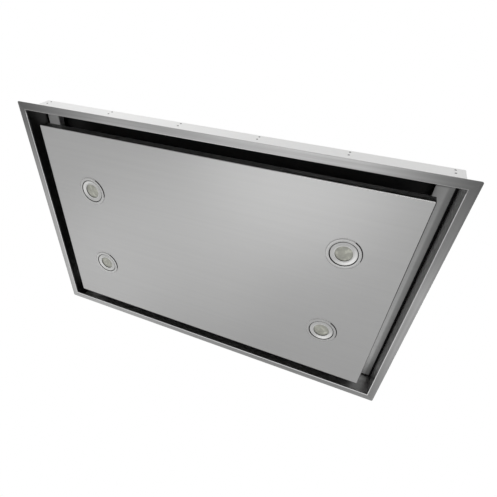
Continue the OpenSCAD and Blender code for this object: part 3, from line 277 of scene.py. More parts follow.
def settle(obj: Piece, body: str, material: Material | None = None,
           stands_for: Iterable[str] = ()) -> Piece:
    """Hang a finished piece on its body.

    Args:
        obj: The piece.
        body: CAD body that it moves with.
        material: Its finish, where the mesh has none yet.
        stands_for: CAD nodes that it replaces.

    Returns:
        The piece.
    """
    if material is not None:
        obj.data.materials.clear()
        obj.data.materials.append(material)
    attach(obj, body)
    if stands_for:
        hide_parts(*stands_for)
    return obj


def second_finish(obj: Piece, material: Material, chosen: Callable[[Face], bool]) -> None:
    """Give some faces of a piece a second finish.

    Args:
        obj: The piece, which has one finish.
        material: The second finish.
        chosen: Says of a face whether it takes it.
    """
    obj.data.materials.append(material)
    for face in obj.data.polygons:
        if chosen(face):
            face.material_index = 1


# ---- shader groups ----


class Wiring:
    """Makes and joins the nodes of one tree."""

    def __init__(self, tree: Tree) -> None:
        """Keep the tree."""
        self.tree = tree

    def feed(self, socket: Socket, source: object) -> None:
        """Join a socket to another, or set its plain value."""
        if isinstance(source, Socket):
            self.tree.links.new(source, socket)
        else:
            socket.default_value = source

    def node(self, kind: str, inputs: dict[str | int, object] | None = None, **settings: object) -> Node:
        """Add a node, set its properties and feed its inputs.

        Args:
            kind: Type of the node.
            inputs: Sources or plain values, by the name or number of their socket.
            **settings: Properties by name.

        Returns:
            The new node.
        """
        made = self.tree.nodes.new(kind)
        for key, value in settings.items():
            setattr(made, key, value)
        for key, source in (inputs or {}).items():
            self.feed(made.inputs[key], source)
        return made

    def math(self, operation: str, first: object, second: object = 0.0, third: object = 0.0) -> Socket:
        """Add a Math node and return its output."""
        return self.node("ShaderNodeMath", {0: first, 1: second, 2: third}, operation=operation).outputs[0]

    def times(self, first: object, second: object) -> Socket:
        """Multiply two values."""
        return self.math("MULTIPLY", first, second)

    def plus(self, first: object, second: object) -> Socket:
        """Add two values."""
        return self.math("ADD", first, second)

    def noise(self, vector: object, scale: object, detail: float = 3.0) -> Socket:
        """Add a noise texture and return its value."""
        return self.node("ShaderNodeTexNoise", {"Vector": vector, "Scale": scale, "Detail": detail}).outputs[0]

    def remap(self, value: object, low: float, high: float, to_low: object = 0.0, to_high: object = 1.0) -> Socket:
        """Map a value from one range to another, held at both ends."""
        return self.node("ShaderNodeMapRange", {"Value": value, "From Min": low, "From Max": high, "To Min": to_low,
                                                "To Max": to_high}, clamp=True).outputs[0]

    def blend(self, factor: object, first: object, second: object, mode: str = "MIX") -> Socket:
        """Mix two colours and return the result."""
        first, second = ((*colour, 1.0) if isinstance(colour, tuple) else colour for colour in (first, second))
        return self.node("ShaderNodeMix", {0: factor, 6: first, 7: second}, data_type="RGBA",
                         blend_type=mode).outputs[2]

    def split(self, vector: object) -> Sockets:
        """Part a vector into its three coordinates."""
        return self.node("ShaderNodeSeparateXYZ", {0: vector}).outputs

    def joined(self, x: object, y: object, z: object) -> Socket:
        """Make a vector of three coordinates."""
        return self.node("ShaderNodeCombineXYZ", {0: x, 1: y, 2: z}).outputs[0]

    def place(self) -> Socket:
        """Return the Object coordinates."""
        return self.node("ShaderNodeTexCoord").outputs["Object"]

    def group(self, tree: Tree, **values: object) -> Sockets:
        """Place a shader group, feed its inputs by name and return its outputs."""
        return self.node("ShaderNodeGroup", values, node_tree=tree).outputs


def shader_group(name: str, inputs: dict[str, float],
                 outputs: Sequence[str]) -> tuple[Tree, Wiring, Sockets, Sockets]:
    """Start a shader group whose first input is a vector.

    Args:
        name: Name of the group.
        inputs: Names of its other inputs with their default values.
        outputs: Names of the output values.

    Returns:
        The tree, its wiring, the inputs seen from inside and the outputs to feed.
    """
    tree = bpy.data.node_groups.new(name, "ShaderNodeTree")
    tree.interface.new_socket(name="Vector", in_out="INPUT", socket_type="NodeSocketVector")
    for key, value in inputs.items():
        tree.interface.new_socket(name=key, in_out="INPUT", socket_type="NodeSocketFloat").default_value = value
    for key in outputs:
        tree.interface.new_socket(name=key, in_out="OUTPUT", socket_type="NodeSocketFloat")
    w = Wiring(tree)
    return tree, w, w.node("NodeGroupInput").outputs, w.node("NodeGroupOutput").inputs


def make_grain_group() -> Tree:
    """Make the fine parallel lines of brushed steel, which turn at the flange's mitred corners.

    Returns:
        The shader group.
    """
    tree, w, given, out = shader_group(
        "brushed_grain", {"Across": 1800.0, "Along": 14.0, "Mitre": 0.0, "Corner": 0.2}, ("Lines", "Streaks"))
    broad_across, broad_along = 120.0, 2.0
    x, y, z = w.split(given["Vector"])
    beyond = w.math("SUBTRACT", w.math("SUBTRACT", w.math("ABSOLUTE", x), given["Corner"]), w.math("ABSOLUTE", y))
    turned = w.times(w.math("GREATER_THAN", beyond, 0.0), given["Mitre"])
    straight = w.math("SUBTRACT", 1.0, turned)
    long_way = w.plus(w.times(x, straight), w.times(y, turned))
    cross_way = w.plus(w.times(y, straight), w.times(x, turned))
    fine = w.joined(w.times(long_way, given["Along"]), w.times(cross_way, given["Across"]),
                    w.times(z, given["Across"]))
    broad = w.joined(w.times(long_way, broad_along), w.times(cross_way, broad_across), w.times(z, broad_across))
    w.feed(out["Lines"], w.noise(fine, 1.0, 2.0))
    w.feed(out["Streaks"], w.remap(w.noise(broad, 1.0, 2.0), 0.32, 0.68))
    return tree


def make_variation_group() -> Tree:
    """Make slow uneven patches, as of handling and rolling.

    Returns:
        The shader group.
    """
    tree, w, given, out = shader_group("soft_variation", {"Scale": 4.0}, ("Patches", "Specks"))
    w.feed(out["Patches"], w.remap(w.noise(given["Vector"], given["Scale"], 2.0), 0.3, 0.7))
    w.feed(out["Specks"], w.noise(given["Vector"], w.times(given["Scale"], 40.0)))
    return tree


def make_spangle_group() -> Tree:
    """Make the frosted crystals of hot-dip zinc.

    Returns:
        The shader group.
    """
    tree, w, given, out = shader_group("zinc_spangle", {"Scale": 120.0}, ("Crystals", "Relief"))
    wobble = w.noise(given["Vector"], w.times(given["Scale"], 0.5), 2.0)
    warped = w.node("ShaderNodeVectorMath", {0: w.joined(wobble, wobble, wobble), 1: (0.006, 0.006, 0.006),
                                             2: given["Vector"]}, operation="MULTIPLY_ADD")
    cells = w.node("ShaderNodeTexVoronoi", {"Vector": warped.outputs[0], "Scale": given["Scale"]})
    red = w.node("ShaderNodeSeparateColor", {0: cells.outputs["Color"]})
    w.feed(out["Crystals"], red.outputs[0])
    w.feed(out["Relief"], cells.outputs["Distance"])
    return tree


def make_peel_group() -> Tree:
    """Make the fine orange peel of baked powder and the leathery skin of moulded plastic.

    Returns:
        The shader group.
    """
    tree, w, given, out = shader_group("orange_peel", {"Scale": 900.0}, ("Peel", "Pits"))
    w.feed(out["Peel"], w.noise(given["Vector"], given["Scale"], 2.0))
    cells = w.node("ShaderNodeTexVoronoi", {"Vector": given["Vector"], "Scale": given["Scale"]}, feature="SMOOTH_F1")
    w.feed(out["Pits"], cells.outputs["Distance"])
    return tree


def make_edge_group() -> Tree:
    """Make a mask of edges, where a rounded normal leaves the true one: worn edges, which some finishes lighten as a
    painted sheen.

    Returns:
        The shader group.
    """
    tree, w, given, out = shader_group("edge_wear", {"Radius": 0.0012}, ("Edge",))
    rounded = w.node("ShaderNodeBevel", {"Radius": given["Radius"]}, samples=4)
    true = w.node("ShaderNodeNewGeometry").outputs["Normal"]
    likeness = w.node("ShaderNodeVectorMath", {0: rounded.outputs[0], 1: true}, operation="DOT_PRODUCT")
    bare = w.remap(likeness.outputs["Value"], 0.72, 0.98, 1.0, 0.0)
    w.feed(out["Edge"], w.times(bare, w.remap(w.noise(given["Vector"], 260.0), 0.4, 0.62, 0.2)))
    return tree


@dataclass(frozen=True)
class Effects:
    """The shader groups that the finishes share."""

    grain: Tree
    variation: Tree
    spangle: Tree
    peel: Tree
    edge: Tree

    @classmethod
    def make(cls) -> "Effects":
        """Build every group once."""
        return cls(make_grain_group(), make_variation_group(), make_spangle_group(), make_peel_group(),
                   make_edge_group())


# ---- finishes ----

EDGE_ROUNDING = 0.0004
GRAIN_DEPTH = 0.000012
PEEL_DEPTH = 0.00003
SPANGLE_DEPTH = 0.00002
# darkest painted shade, as a share of the steel's colour
DARKEST_PAINTED_SHADE = 0.2
STREAK_SHARE = 0.6
CRYSTAL_SHARE = 0.65
WALL_FROM = 0.5
FLANGE_SKEW = 0.5
FLANGE_STRETCH = 0.85
LEDGE_OVERLAP = 0.8

# Each ramp holds where a change over the steel begins and ends, and its value at both
# The ramps below place painted shade and painted light on the flange, its bend, the ledge and the panel's folds
FAR_SIDE_PAINTED_SHADE: Ramp = (0.1, 0.33, 0.0, 0.25)
TOWARD_RIGHT: Ramp = (-0.5, 0.2, 0.0, 1.0)
NEAR_CORNER_PAINTED_SHADE: Ramp = (0.0, 0.24, 0.79, 0.0)
LEFT_WALL_PAINTED_SHADE: Ramp = (0.0, 0.006, 0.0, 0.95)
WALL_FOOT: Ramp = (0.0, 0.004, 0.0, 1.0)
RIGHT_WALL_LIGHT_FADE: Ramp = (-0.1, 0.3, 1.0, 0.1)
NEAR_BEND_PAINTED_SHADE: Ramp = (-0.32, -0.325, 0.0, 0.55)
OFF_MIDDLE: Ramp = (0.1, 0.3, 0.0, 1.0)
LEDGE_LIP_PAINTED_SHADE: Ramp = (0.511, 0.515, 0.0, 0.42)
LEDGE_ROOT_PAINTED_SHADE: Ramp = (0.515, 0.527, 0.0, 0.28)
LEDGE_SIDE_PAINTED_SHADE: Ramp = (-0.28, 0.28, 0.62, 0.0)
LEDGE_NEAR_PAINTED_SHADE: Ramp = (-0.29, -0.30, 0.0, 0.88)
PAST_LIGHT_END: Ramp = (-0.48, -0.47, 0.0, 1.0)
LIGHT_END_ALONG_X: Ramp = (-0.484, -0.482, 1.0, 0.0)
LIGHT_END_ALONG_Y: Ramp = (-0.276, -0.270, 1.0, 0.0)
FOLD_HEIGHT: Ramp = (-0.0006, 0.0006, 1.0, 0.0)
NEAR_FOLD: Ramp = (-0.2935, -0.2945, 0.0, 1.0)
LIT_FROM: Ramp = (0.14, 0.24, 0.0, 1.0)
RIGHT_FOLD: Ramp = (0.4892, 0.4900, 0.0, 1.0)
UNLIT_FADE: Ramp = (-0.05, 0.20, 1.0, 0.35)
STREAK_GREY: Ramp = (0.2, 0.8, 0.94, 1.0)

# paler colour painted as light on the recess's right wall
RIGHT_WALL_PAINTED_LIGHT: Colour = (0.80, 0.80, 0.795)
# paler colour painted as light on the ledge's near left end
LEDGE_END_PAINTED_LIGHT: Colour = (0.95, 0.95, 0.945)
# black painted inside the plenum, standing in for its shade
INSIDE_SHADE_BLACK: Colour = (0.012, 0.012, 0.012)


class Grain(Enum):
    """Run of the brushing."""

    LONG = 0.0
    MITRED = 1.0


class Tone(Enum):
    """Where painted shade and painted light lie on a sheet's steel."""

    EVEN = "even"
    FLANGE = "flange"
    LEDGE = "ledge"
    BEND = "bend"


def start_material(name: str) -> tuple[Material, Wiring, Node]:
    """Start a material.

    Args:
        name: Name of the material.

    Returns:
        The material, its wiring and its shader.
    """
    material = bpy.data.materials.new(name)
    material.use_nodes = True
    material.node_tree.nodes.clear()
    w = Wiring(material.node_tree)
    shader = w.node("ShaderNodeBsdfPrincipled")
    w.node("ShaderNodeOutputMaterial", {"Surface": shader.outputs[0]})
    return material, w, shader


def coat(w: Wiring, shader: Node, colour: object, rough: object, metal: object, height: Socket, depth: float,
         rounding: float = 0.0) -> None:
    """Feed a shader its colour, roughness, metal and relief.

    Args:
        w: Wiring of the material.
        shader: The shader.
        colour: Its base colour.
        rough: Its roughness.
        metal: Its share of metal.
        height: Height of the relief, from 0 to 1.
        depth: Depth of the relief.
        rounding: Radius of the rounded edges, or nought.
    """
    bump = w.node("ShaderNodeBump", {"Distance": depth, "Height": height})
    if rounding > 0.0:
        w.feed(bump.inputs["Normal"], w.node("ShaderNodeBevel", {"Radius": rounding}, samples=4).outputs[0])
    for name, source in (("Base Color", colour), ("Metallic", metal), ("Roughness", rough),
                         ("Normal", bump.outputs[0])):
        w.feed(shader.inputs[name], source)


def scaled(colour: Colour, share: float, lift: float = 0.0) -> Colour:
    """Make a colour brighter or darker, no brighter than white."""
    return tuple(min(1.0, c * share + lift) for c in colour)


def varied(w: Wiring, colour: Colour, amount: float, value: Socket) -> Socket:
    """Darken and lighten a colour by a share as a value goes from 0 to 1."""
    return w.blend(value, scaled(colour, 1.0 - amount), scaled(colour, 1.0 + amount))


def brushed_roughness(w: Wiring, lines: Socket, middle: float) -> Socket:
    """Vary a roughness along the brushed lines."""
    return w.remap(lines, 0.25, 0.75, middle - 0.03, middle + 0.03)


@dataclass(frozen=True)
class Finish:
    """A procedural material, which each kind paints in its own way."""

    name: str

    def material(self, fx: Effects) -> Material:
        """Build the material.

        Args:
            fx: The shared shader groups.

        Returns:
            The material.
        """
        material, w, shader = start_material(self.name)
        self.paint(w, w.place(), fx, shader)
        return material

    def paint(self, w: Wiring, place: Socket, fx: Effects, shader: Node) -> None:
        """Feed the shader."""
        raise NotImplementedError


@dataclass(frozen=True)
class BrushedSteel(Finish):
    """Stainless sheet with a fine brushed grain."""

    colour: Colour
    roughness: float
    grain: Grain = Grain.LONG
    shade: float = 0.03
    tone: Tone = Tone.EVEN
    painted_light_end_rougher: float = 0.35

    def paint(self, w: Wiring, place: Socket, fx: Effects, shader: Node) -> None:
        """Feed the shader with the grain, the soft patches, and the tone's painted shade and painted light.

        Args:
            w: Wiring of the material.
            place: Object coordinates.
            fx: The shared shader groups.
            shader: The shader.
        """
        lines = w.group(fx.grain, Vector=place, Mitre=self.grain.value)
        patches = w.group(fx.variation, Vector=place, Scale=3.0)
        mixed = w.plus(w.times(lines["Streaks"], STREAK_SHARE), w.times(patches["Patches"], 1.0 - STREAK_SHARE))
        colour = varied(w, self.colour, self.shade, mixed)
        rough = brushed_roughness(w, lines["Lines"], self.roughness)
        # painted shade: the tone darkens the colour by position, towards a fifth of it
        if self.tone is not Tone.EVEN:
            painted_shade = {Tone.FLANGE: self.flange_painted_shade, Tone.LEDGE: self.ledge_painted_shade,
                        Tone.BEND: self.bend_painted_shade}[self.tone]
            colour = w.blend(painted_shade(w, place), colour, scaled(self.colour, DARKEST_PAINTED_SHADE))
        # painted light: the right wall is painted paler, fading towards the far side
        if self.tone is Tone.FLANGE:
            colour = w.blend(self.painted_light_right_wall(w, place), colour, RIGHT_WALL_PAINTED_LIGHT)
        if self.tone is Tone.LEDGE:
            # painted light: the ledge's near left end is painted paler, and its steel is rougher
            painted_light_end = self.painted_light_ledge_end(w, place)
            colour = w.blend(painted_light_end, colour, LEDGE_END_PAINTED_LIGHT)
            rough = w.math("MULTIPLY_ADD", painted_light_end, self.painted_light_end_rougher, rough)
        coat(w, shader, colour, rough, 1.0, lines["Lines"], GRAIN_DEPTH, EDGE_ROUNDING)

    def flange_painted_shade(self, w: Wiring, place: Socket) -> Socket:
        """Return the flange's painted shade: most at its near corners, on the far side and up the left wall.

        Args:
            w: Wiring of the material.
            place: Object coordinates.

        Returns:
            Nought where no shade is painted, and more where the steel is painted darker.
        """
        x, y, z = w.split(place)
        across = w.math("SUBTRACT", FRAME_HALF_X, w.math("ABSOLUTE", x))
        across = w.times(across, w.math("MULTIPLY_ADD", x, FLANGE_SKEW, 1.0))
        along = w.times(w.plus(y, FRAME_HALF_Y), FLANGE_STRETCH)
        reach = w.math("SQRT", w.plus(w.times(across, across), w.times(along, along)))
        far = w.times(w.remap(y, *FAR_SIDE_PAINTED_SHADE), w.remap(x, *TOWARD_RIGHT))
        rim = w.math("MAXIMUM", w.remap(reach, *NEAR_CORNER_PAINTED_SHADE), far)
        left_wall = w.times(w.math("LESS_THAN", x, -WALL_FROM), w.remap(z, *LEFT_WALL_PAINTED_SHADE))
        return w.math("MAXIMUM", rim, left_wall)

    def painted_light_right_wall(self, w: Wiring, place: Socket) -> Socket:
        """Return the mask of the recess's right wall, where a paler colour is painted as light, fading towards the
        far side.

        Args:
            w: Wiring of the material.
            place: Object coordinates.

        Returns:
            The mask.
        """
        x, y, z = w.split(place)
        upright = w.times(w.math("GREATER_THAN", x, WALL_FROM), w.remap(z, *WALL_FOOT))
        return w.times(upright, w.remap(y, *RIGHT_WALL_LIGHT_FADE))

    def bend_painted_shade(self, w: Wiring, place: Socket) -> Socket:
        """Return the painted shade on the flange's bend: only along the near side, away from its middle."""
        x, y, _z = w.split(place)
        return w.times(w.remap(y, *NEAR_BEND_PAINTED_SHADE), w.remap(w.math("ABSOLUTE", x), *OFF_MIDDLE))

    def ledge_painted_shade(self, w: Wiring, place: Socket) -> Socket:
        """Return the ledge's painted shade: more towards the wall, and most along the near side.

        Args:
            w: Wiring of the material.
            place: Object coordinates.

        Returns:
            Nought where no shade is painted, and more where the steel is painted darker.
        """
        x, y, _z = w.split(place)
        side = w.math("ABSOLUTE", x)
        toward_wall = w.plus(w.remap(side, *LEDGE_LIP_PAINTED_SHADE), w.remap(side, *LEDGE_ROOT_PAINTED_SHADE))
        toward_near = w.remap(y, *LEDGE_SIDE_PAINTED_SHADE)
        both = w.times(w.times(toward_wall, toward_near), LEDGE_OVERLAP)
        side_painted_shade = w.math("SUBTRACT", w.plus(toward_wall, toward_near), both)
        near = w.times(w.remap(y, *LEDGE_NEAR_PAINTED_SHADE), w.remap(x, *PAST_LIGHT_END))
        return w.math("MAXIMUM", side_painted_shade, near)

    def painted_light_ledge_end(self, w: Wiring, place: Socket) -> Socket:
        """Return the mask of the ledge's near left end, where a paler colour is painted as light and the steel is
        rougher.
        """
        x, y, _z = w.split(place)
        return w.times(w.remap(x, *LIGHT_END_ALONG_X), w.remap(y, *LIGHT_END_ALONG_Y))


@dataclass(frozen=True)
class FoldedSteel(Finish):
    """Folded edge of the panel: plain on the bend, painted shade up the return and on the right bend, painted
    highlight at the near right corner.
    """

    colour: Colour
    bend: Colour
    lit: Colour
    dark: Colour
    roughness: float
    smoother: float = 0.19

    def paint(self, w: Wiring, place: Socket, fx: Effects, shader: Node) -> None:
        """Feed the shader with the bend, the return's painted shade, the painted highlight and the painted shade on
        the right bend.

        Args:
            w: Wiring of the material.
            place: Object coordinates.
            fx: The shared shader groups.
            shader: The shader.
        """
        x, y, z = w.split(place)
        lines = w.group(fx.grain, Vector=place, Mitre=Grain.LONG.value)
        on_bend = w.remap(z, *FOLD_HEIGHT)
        lit = w.times(w.remap(y, *NEAR_FOLD), w.remap(x, *LIT_FROM))
        right = w.remap(x, *RIGHT_FOLD)
        unlit = w.times(right, w.remap(y, *UNLIT_FADE))
        # painted highlight on the near bend towards the right corner; painted shade on the right bend and in the
        # darker return colour
        bend = w.blend(unlit, w.blend(lit, self.bend, self.lit), self.dark)
        colour = w.blend(on_bend, w.blend(right, self.colour, self.bend), bend)
        grey = w.remap(lines["Streaks"], *STREAK_GREY)
        streaked = w.blend(1.0, colour, w.joined(grey, grey, grey), "MULTIPLY")
        rough = w.math("MULTIPLY_ADD", lit, -self.smoother, brushed_roughness(w, lines["Lines"], self.roughness))
        coat(w, shader, streaked, rough, 1.0, lines["Lines"], GRAIN_DEPTH, EDGE_ROUNDING)


@dataclass(frozen=True)
class Galvanised(Finish):
    """Zinc-coated sheet with a frosted spangle; its frosted share scatters light as a dull coat does."""

    colour: Colour
    roughness: float
    scale: float = 90.0
    shade: float = 0.05
    painted_shade_inside: bool = False
    frosted: float = 0.0

    def paint(self, w: Wiring, place: Socket, fx: Effects, shader: Node) -> None:
        """Feed the shader with the spangle, soft patches, edges lightened as wear and painted sheen, and black
        painted shade inside the plenum.

        Args:
            w: Wiring of the material.
            place: Object coordinates.
            fx: The shared shader groups.
            shader: The shader.
        """
        zinc = w.group(fx.spangle, Vector=place, Scale=self.scale)
        patches = w.group(fx.variation, Vector=place, Scale=5.0)
        edge = w.group(fx.edge, Vector=place, Radius=0.0009)["Edge"]
        mixed = w.plus(w.times(zinc["Crystals"], CRYSTAL_SHARE), w.times(patches["Patches"], 1.0 - CRYSTAL_SHARE))
        colour = varied(w, self.colour, self.shade, mixed)
        # edges lighter: wear, and a painted sheen
        colour = w.blend(w.times(edge, 0.35), colour, scaled(self.colour, 1.12))
        rough = w.remap(zinc["Crystals"], 0.0, 1.0, self.roughness - 0.03, self.roughness + 0.04)
        metal: object = 1.0 - self.frosted
        # painted shade: the plenum's inner faces are made black for the shade inside
        if self.painted_shade_inside:
            inside = self.inside(w, place)
            colour = w.blend(inside, colour, INSIDE_SHADE_BLACK)
            metal = w.math("SUBTRACT", 1.0, inside)
        coat(w, shader, colour, rough, metal, zinc["Relief"], SPANGLE_DEPTH, EDGE_ROUNDING)

    def inside(self, w: Wiring, place: Socket) -> Socket:
        """Return the mask of the plenum's inner faces, which lie within its sheet and are painted black as shade.

        Args:
            w: Wiring of the material.
            place: Object coordinates.

        Returns:
            The mask.
        """
        x, y, z = w.split(place)
        across = w.math("LESS_THAN", w.math("ABSOLUTE", x), PLENUM_HALF_X - WITHIN_SHEET)
        along = w.math("LESS_THAN", w.math("ABSOLUTE", y), PLENUM_HALF_Y - WITHIN_SHEET)
        return w.times(w.times(across, along), w.math("LESS_THAN", z, PLENUM_TOP - WITHIN_SHEET))


@dataclass(frozen=True)
class PlainMetal(Finish):
    """Machined, plated or anodised metal."""

    colour: Colour
    roughness: float
    shade: float = 0.06
    scale: float = 30.0

    def paint(self, w: Wiring, place: Socket, fx: Effects, shader: Node) -> None:
        """Feed the shader with soft patches, and edges lightened as wear and as a painted sheen.

        Args:
            w: Wiring of the material.
            place: Object coordinates.
            fx: The shared shader groups.
            shader: The shader.
        """
        patches = w.group(fx.variation, Vector=place, Scale=self.scale)
        edge = w.group(fx.edge, Vector=place, Radius=0.0006)["Edge"]
        colour = varied(w, self.colour, self.shade, patches["Patches"])
        # edges lighter: wear, and a painted sheen
        colour = w.blend(w.times(edge, 0.5), colour, scaled(self.colour, 1.3, 0.03))
        rough = w.remap(patches["Specks"], 0.3, 0.7, self.roughness - 0.05, self.roughness + 0.06)
        coat(w, shader, colour, rough, 1.0, patches["Specks"], GRAIN_DEPTH, 0.0003)


@dataclass(frozen=True)
class PowderCoat(Finish):
    """Baked powder or enamel on sheet, worn through at its edges."""

    colour: Colour
    roughness: float
    bare: Colour = (0.3, 0.3, 0.3)
    wear: float = 0.25

    def paint(self, w: Wiring, place: Socket, fx: Effects, shader: Node) -> None:
        """Feed the shader with orange peel and edges worn to bare metal.

        Args:
            w: Wiring of the material.
            place: Object coordinates.
            fx: The shared shader groups.
            shader: The shader.
        """
        peel = w.group(fx.peel, Vector=place, Scale=700.0)
        patches = w.group(fx.variation, Vector=place, Scale=8.0)
        edge = w.group(fx.edge, Vector=place, Radius=0.0008)["Edge"]
        colour = w.blend(w.times(edge, self.wear), varied(w, self.colour, 0.18, patches["Patches"]), self.bare)
        rough = w.remap(patches["Specks"], 0.3, 0.7, self.roughness - 0.05, self.roughness + 0.07)
        coat(w, shader, colour, rough, 0.0, peel["Peel"], PEEL_DEPTH, EDGE_ROUNDING)


@dataclass(frozen=True)
class MouldedPlastic(Finish):
    """Moulded plastic with a fine leathery skin."""

    colour: Colour
    roughness: float

    def paint(self, w: Wiring, place: Socket, fx: Effects, shader: Node) -> None:
        """Feed the shader with a leathery skin.

        Args:
            w: Wiring of the material.
            place: Object coordinates.
            fx: The shared shader groups.
            shader: The shader.
        """
        peel = w.group(fx.peel, Vector=place, Scale=1100.0)
        patches = w.group(fx.variation, Vector=place, Scale=12.0)
        rough = w.remap(patches["Specks"], 0.3, 0.7, self.roughness - 0.04, self.roughness + 0.06)
        colour = varied(w, self.colour, 0.07, patches["Patches"])
        coat(w, shader, colour, rough, 0.0, peel["Pits"], PEEL_DEPTH, 0.0005)


@dataclass(frozen=True)
class Foam(Finish):
    """Closed-cell foam or soft rubber."""

    colour: Colour
    scale: float
    specular: float

    def paint(self, w: Wiring, place: Socket, fx: Effects, shader: Node) -> None:
        """Feed the shader with pores.

        Args:
            w: Wiring of the material.
            place: Object coordinates.
            fx: The shared shader groups.
            shader: The shader.
        """
        peel = w.group(fx.peel, Vector=place, Scale=self.scale)
        w.feed(shader.inputs["Specular IOR Level"], self.specular)
        coat(w, shader, varied(w, self.colour, 0.35, peel["Pits"]), w.remap(peel["Peel"], 0.3, 0.7, 0.78, 0.92), 0.0,
             peel["Pits"], 0.00012)


@dataclass(frozen=True)
class CircuitBoard(Finish):
    """Green board whose parts are blue and cream above it."""

    board_top: float = 0.1596
    parts_front: float = 0.02

    def paint(self, w: Wiring, place: Socket, fx: Effects, shader: Node) -> None:
        """Feed the shader with tracks, and plain colours for the parts above them.

        Args:
            w: Wiring of the material.
            place: Object coordinates.
            fx: The shared shader groups.
            shader: The shader.
        """
        peel = w.group(fx.peel, Vector=place, Scale=240.0)
        tracks = w.node("ShaderNodeTexBrick", {
            "Vector": place, "Scale": 90.0, "Color1": (0.015, 0.16, 0.07, 1.0), "Color2": (0.03, 0.22, 0.09, 1.0),
            "Mortar": (0.10, 0.34, 0.12, 1.0)})
        _x, y, z = w.split(place)
        above = w.math("GREATER_THAN", z, self.board_top + 0.0002)
        parts = w.blend(w.math("GREATER_THAN", y, self.parts_front), (0.02, 0.05, 0.16), (0.62, 0.56, 0.38))
        coat(w, shader, w.blend(above, tracks.outputs["Color"], parts), w.remap(peel["Peel"], 0.3, 0.7, 0.3, 0.45),
             0.0, peel["Peel"], PEEL_DEPTH, EDGE_ROUNDING)


@dataclass(frozen=True)
class LampOptic(Finish):
    """Clear faceted optic over a pale diffuser."""

    colour: Colour
    roughness: float = 0.16

    def paint(self, w: Wiring, place: Socket, fx: Effects, shader: Node) -> None:
        """Feed the shader with a cloudy diffuser under a clear coat.

        Args:
            w: Wiring of the material.
            place: Object coordinates.
            fx: The shared shader groups.
            shader: The shader.
        """
        flecks = w.group(fx.spangle, Vector=place, Scale=150.0)
        clouds = w.group(fx.variation, Vector=place, Scale=70.0)
        cloudy = w.blend(clouds["Patches"], scaled(self.colour, 0.70), self.colour)
        colour = w.blend(w.remap(clouds["Patches"], 0.62, 0.95), cloudy, scaled(self.colour, 1.2))
        rough = w.remap(flecks["Crystals"], 0.0, 1.0, self.roughness, self.roughness + 0.2)
        w.feed(shader.inputs["Coat Weight"], 0.6)
        w.feed(shader.inputs["Coat Roughness"], 0.08)
        coat(w, shader, colour, rough, 0.0, flecks["Relief"], 0.00006)


FINISHES: dict[str, Finish] = {
    "panel": BrushedSteel("brushed_panel_steel", (0.635, 0.635, 0.632), 0.34, shade=0.02),
    # the return colour is painted shade, the pale lit colour a painted highlight and the dark colour painted shade
    # on the right bend
    "fold": FoldedSteel("folded_edge_steel", (0.30, 0.30, 0.30), (0.635, 0.635, 0.632), (0.96, 0.96, 0.955),
                        (0.10, 0.10, 0.10), 0.34),
    # the bend's pale colour is a painted highlight along the fold, with painted shade along its near side
    "bend": BrushedSteel("painted_highlight_bend_steel", (0.92, 0.92, 0.915), 0.30, Grain.MITRED, tone=Tone.BEND),
    # painted shade at the flange's near corners, far side and left wall; painted light on the recess's right wall
    "flange": BrushedSteel("brushed_flange_steel", (0.585, 0.585, 0.583), 0.36, Grain.MITRED, 0.16, Tone.FLANGE),
    # painted shade towards the wall and along the near side; painted light at the near left end
    "liner": BrushedSteel("liner_steel", (0.84, 0.84, 0.837), 0.38, shade=0.04, tone=Tone.LEDGE),
    "zinc": Galvanised("galvanised_sheet", (0.60, 0.61, 0.615), 0.42),
    # black inside the plenum, standing in for its shade
    "zinc_box": Galvanised("galvanised_plenum_sheet", (0.60, 0.61, 0.615), 0.42, painted_shade_inside=True),
    "casing": Galvanised("galvanised_casing_sheet", (0.84, 0.84, 0.835), 0.54, 110.0, 0.02, frosted=0.4),
    "wheel": Galvanised("fan_wheel_zinc", (0.50, 0.51, 0.52), 0.46, 160.0),
    "rivet": PlainMetal("dull_rivet_metal", (0.27, 0.27, 0.27), 0.45),
    "fixing": PlainMetal("zinc_plated_fixing", (0.52, 0.52, 0.51), 0.34),
    "spring": PlainMetal("bright_spring_steel", (0.42, 0.43, 0.46), 0.28),
    # a real foam seal, made near-black with little sheen to stand in for the shade in the slit beside the ledge
    "seal": Foam("foam_seal", (0.006, 0.006, 0.006), 1600.0, 0.15),
    "black_coat": PowderCoat("matt_black_powder", (0.022, 0.022, 0.022), 0.55),
    "magnet": PowderCoat("catch_magnet_black", (0.03, 0.03, 0.032), 0.42, (0.35, 0.35, 0.35), 0.5),
    "anodised": PlainMetal("black_anodised_aluminium", (0.07, 0.07, 0.072), 0.42),
    "strand": PlainMetal("expanded_mesh_aluminium", (0.32, 0.32, 0.325), 0.4, scale=60.0),
    "motor": PowderCoat("motor_enamel", (0.10, 0.10, 0.108), 0.36, (0.4, 0.4, 0.4), 0.3),
    "dark_plastic": MouldedPlastic("textured_dark_plastic", (0.035, 0.035, 0.038), 0.5),
    "duct": MouldedPlastic("dark_duct_plastic", (0.075, 0.075, 0.08), 0.46),
    "flap": MouldedPlastic("pale_flap_plastic", (0.58, 0.58, 0.56), 0.45),
    "rubber": Foam("bush_rubber", (0.025, 0.025, 0.025), 900.0, 0.4),
    "board": CircuitBoard("control_board_mask"),
    "white": MouldedPlastic("white_moulded_plastic", (0.72, 0.72, 0.69), 0.42),
    "lamp": PlainMetal("satin_lamp_metal", (0.66, 0.66, 0.655), 0.24, 0.03),
    "lamp_ring": PlainMetal("pale_ring_metal", (0.84, 0.84, 0.83), 0.30, 0.03),
    # the near-black side colour is painted shade
    "lamp_side": PlainMetal("painted_shade_lamp_side", (0.04, 0.04, 0.04), 0.4, 0.03),
    "optic": LampOptic("lamp_optic", (0.65, 0.655, 0.57)),
    "sink": PlainMetal("heat_sink_aluminium", (0.36, 0.36, 0.37), 0.45),
}


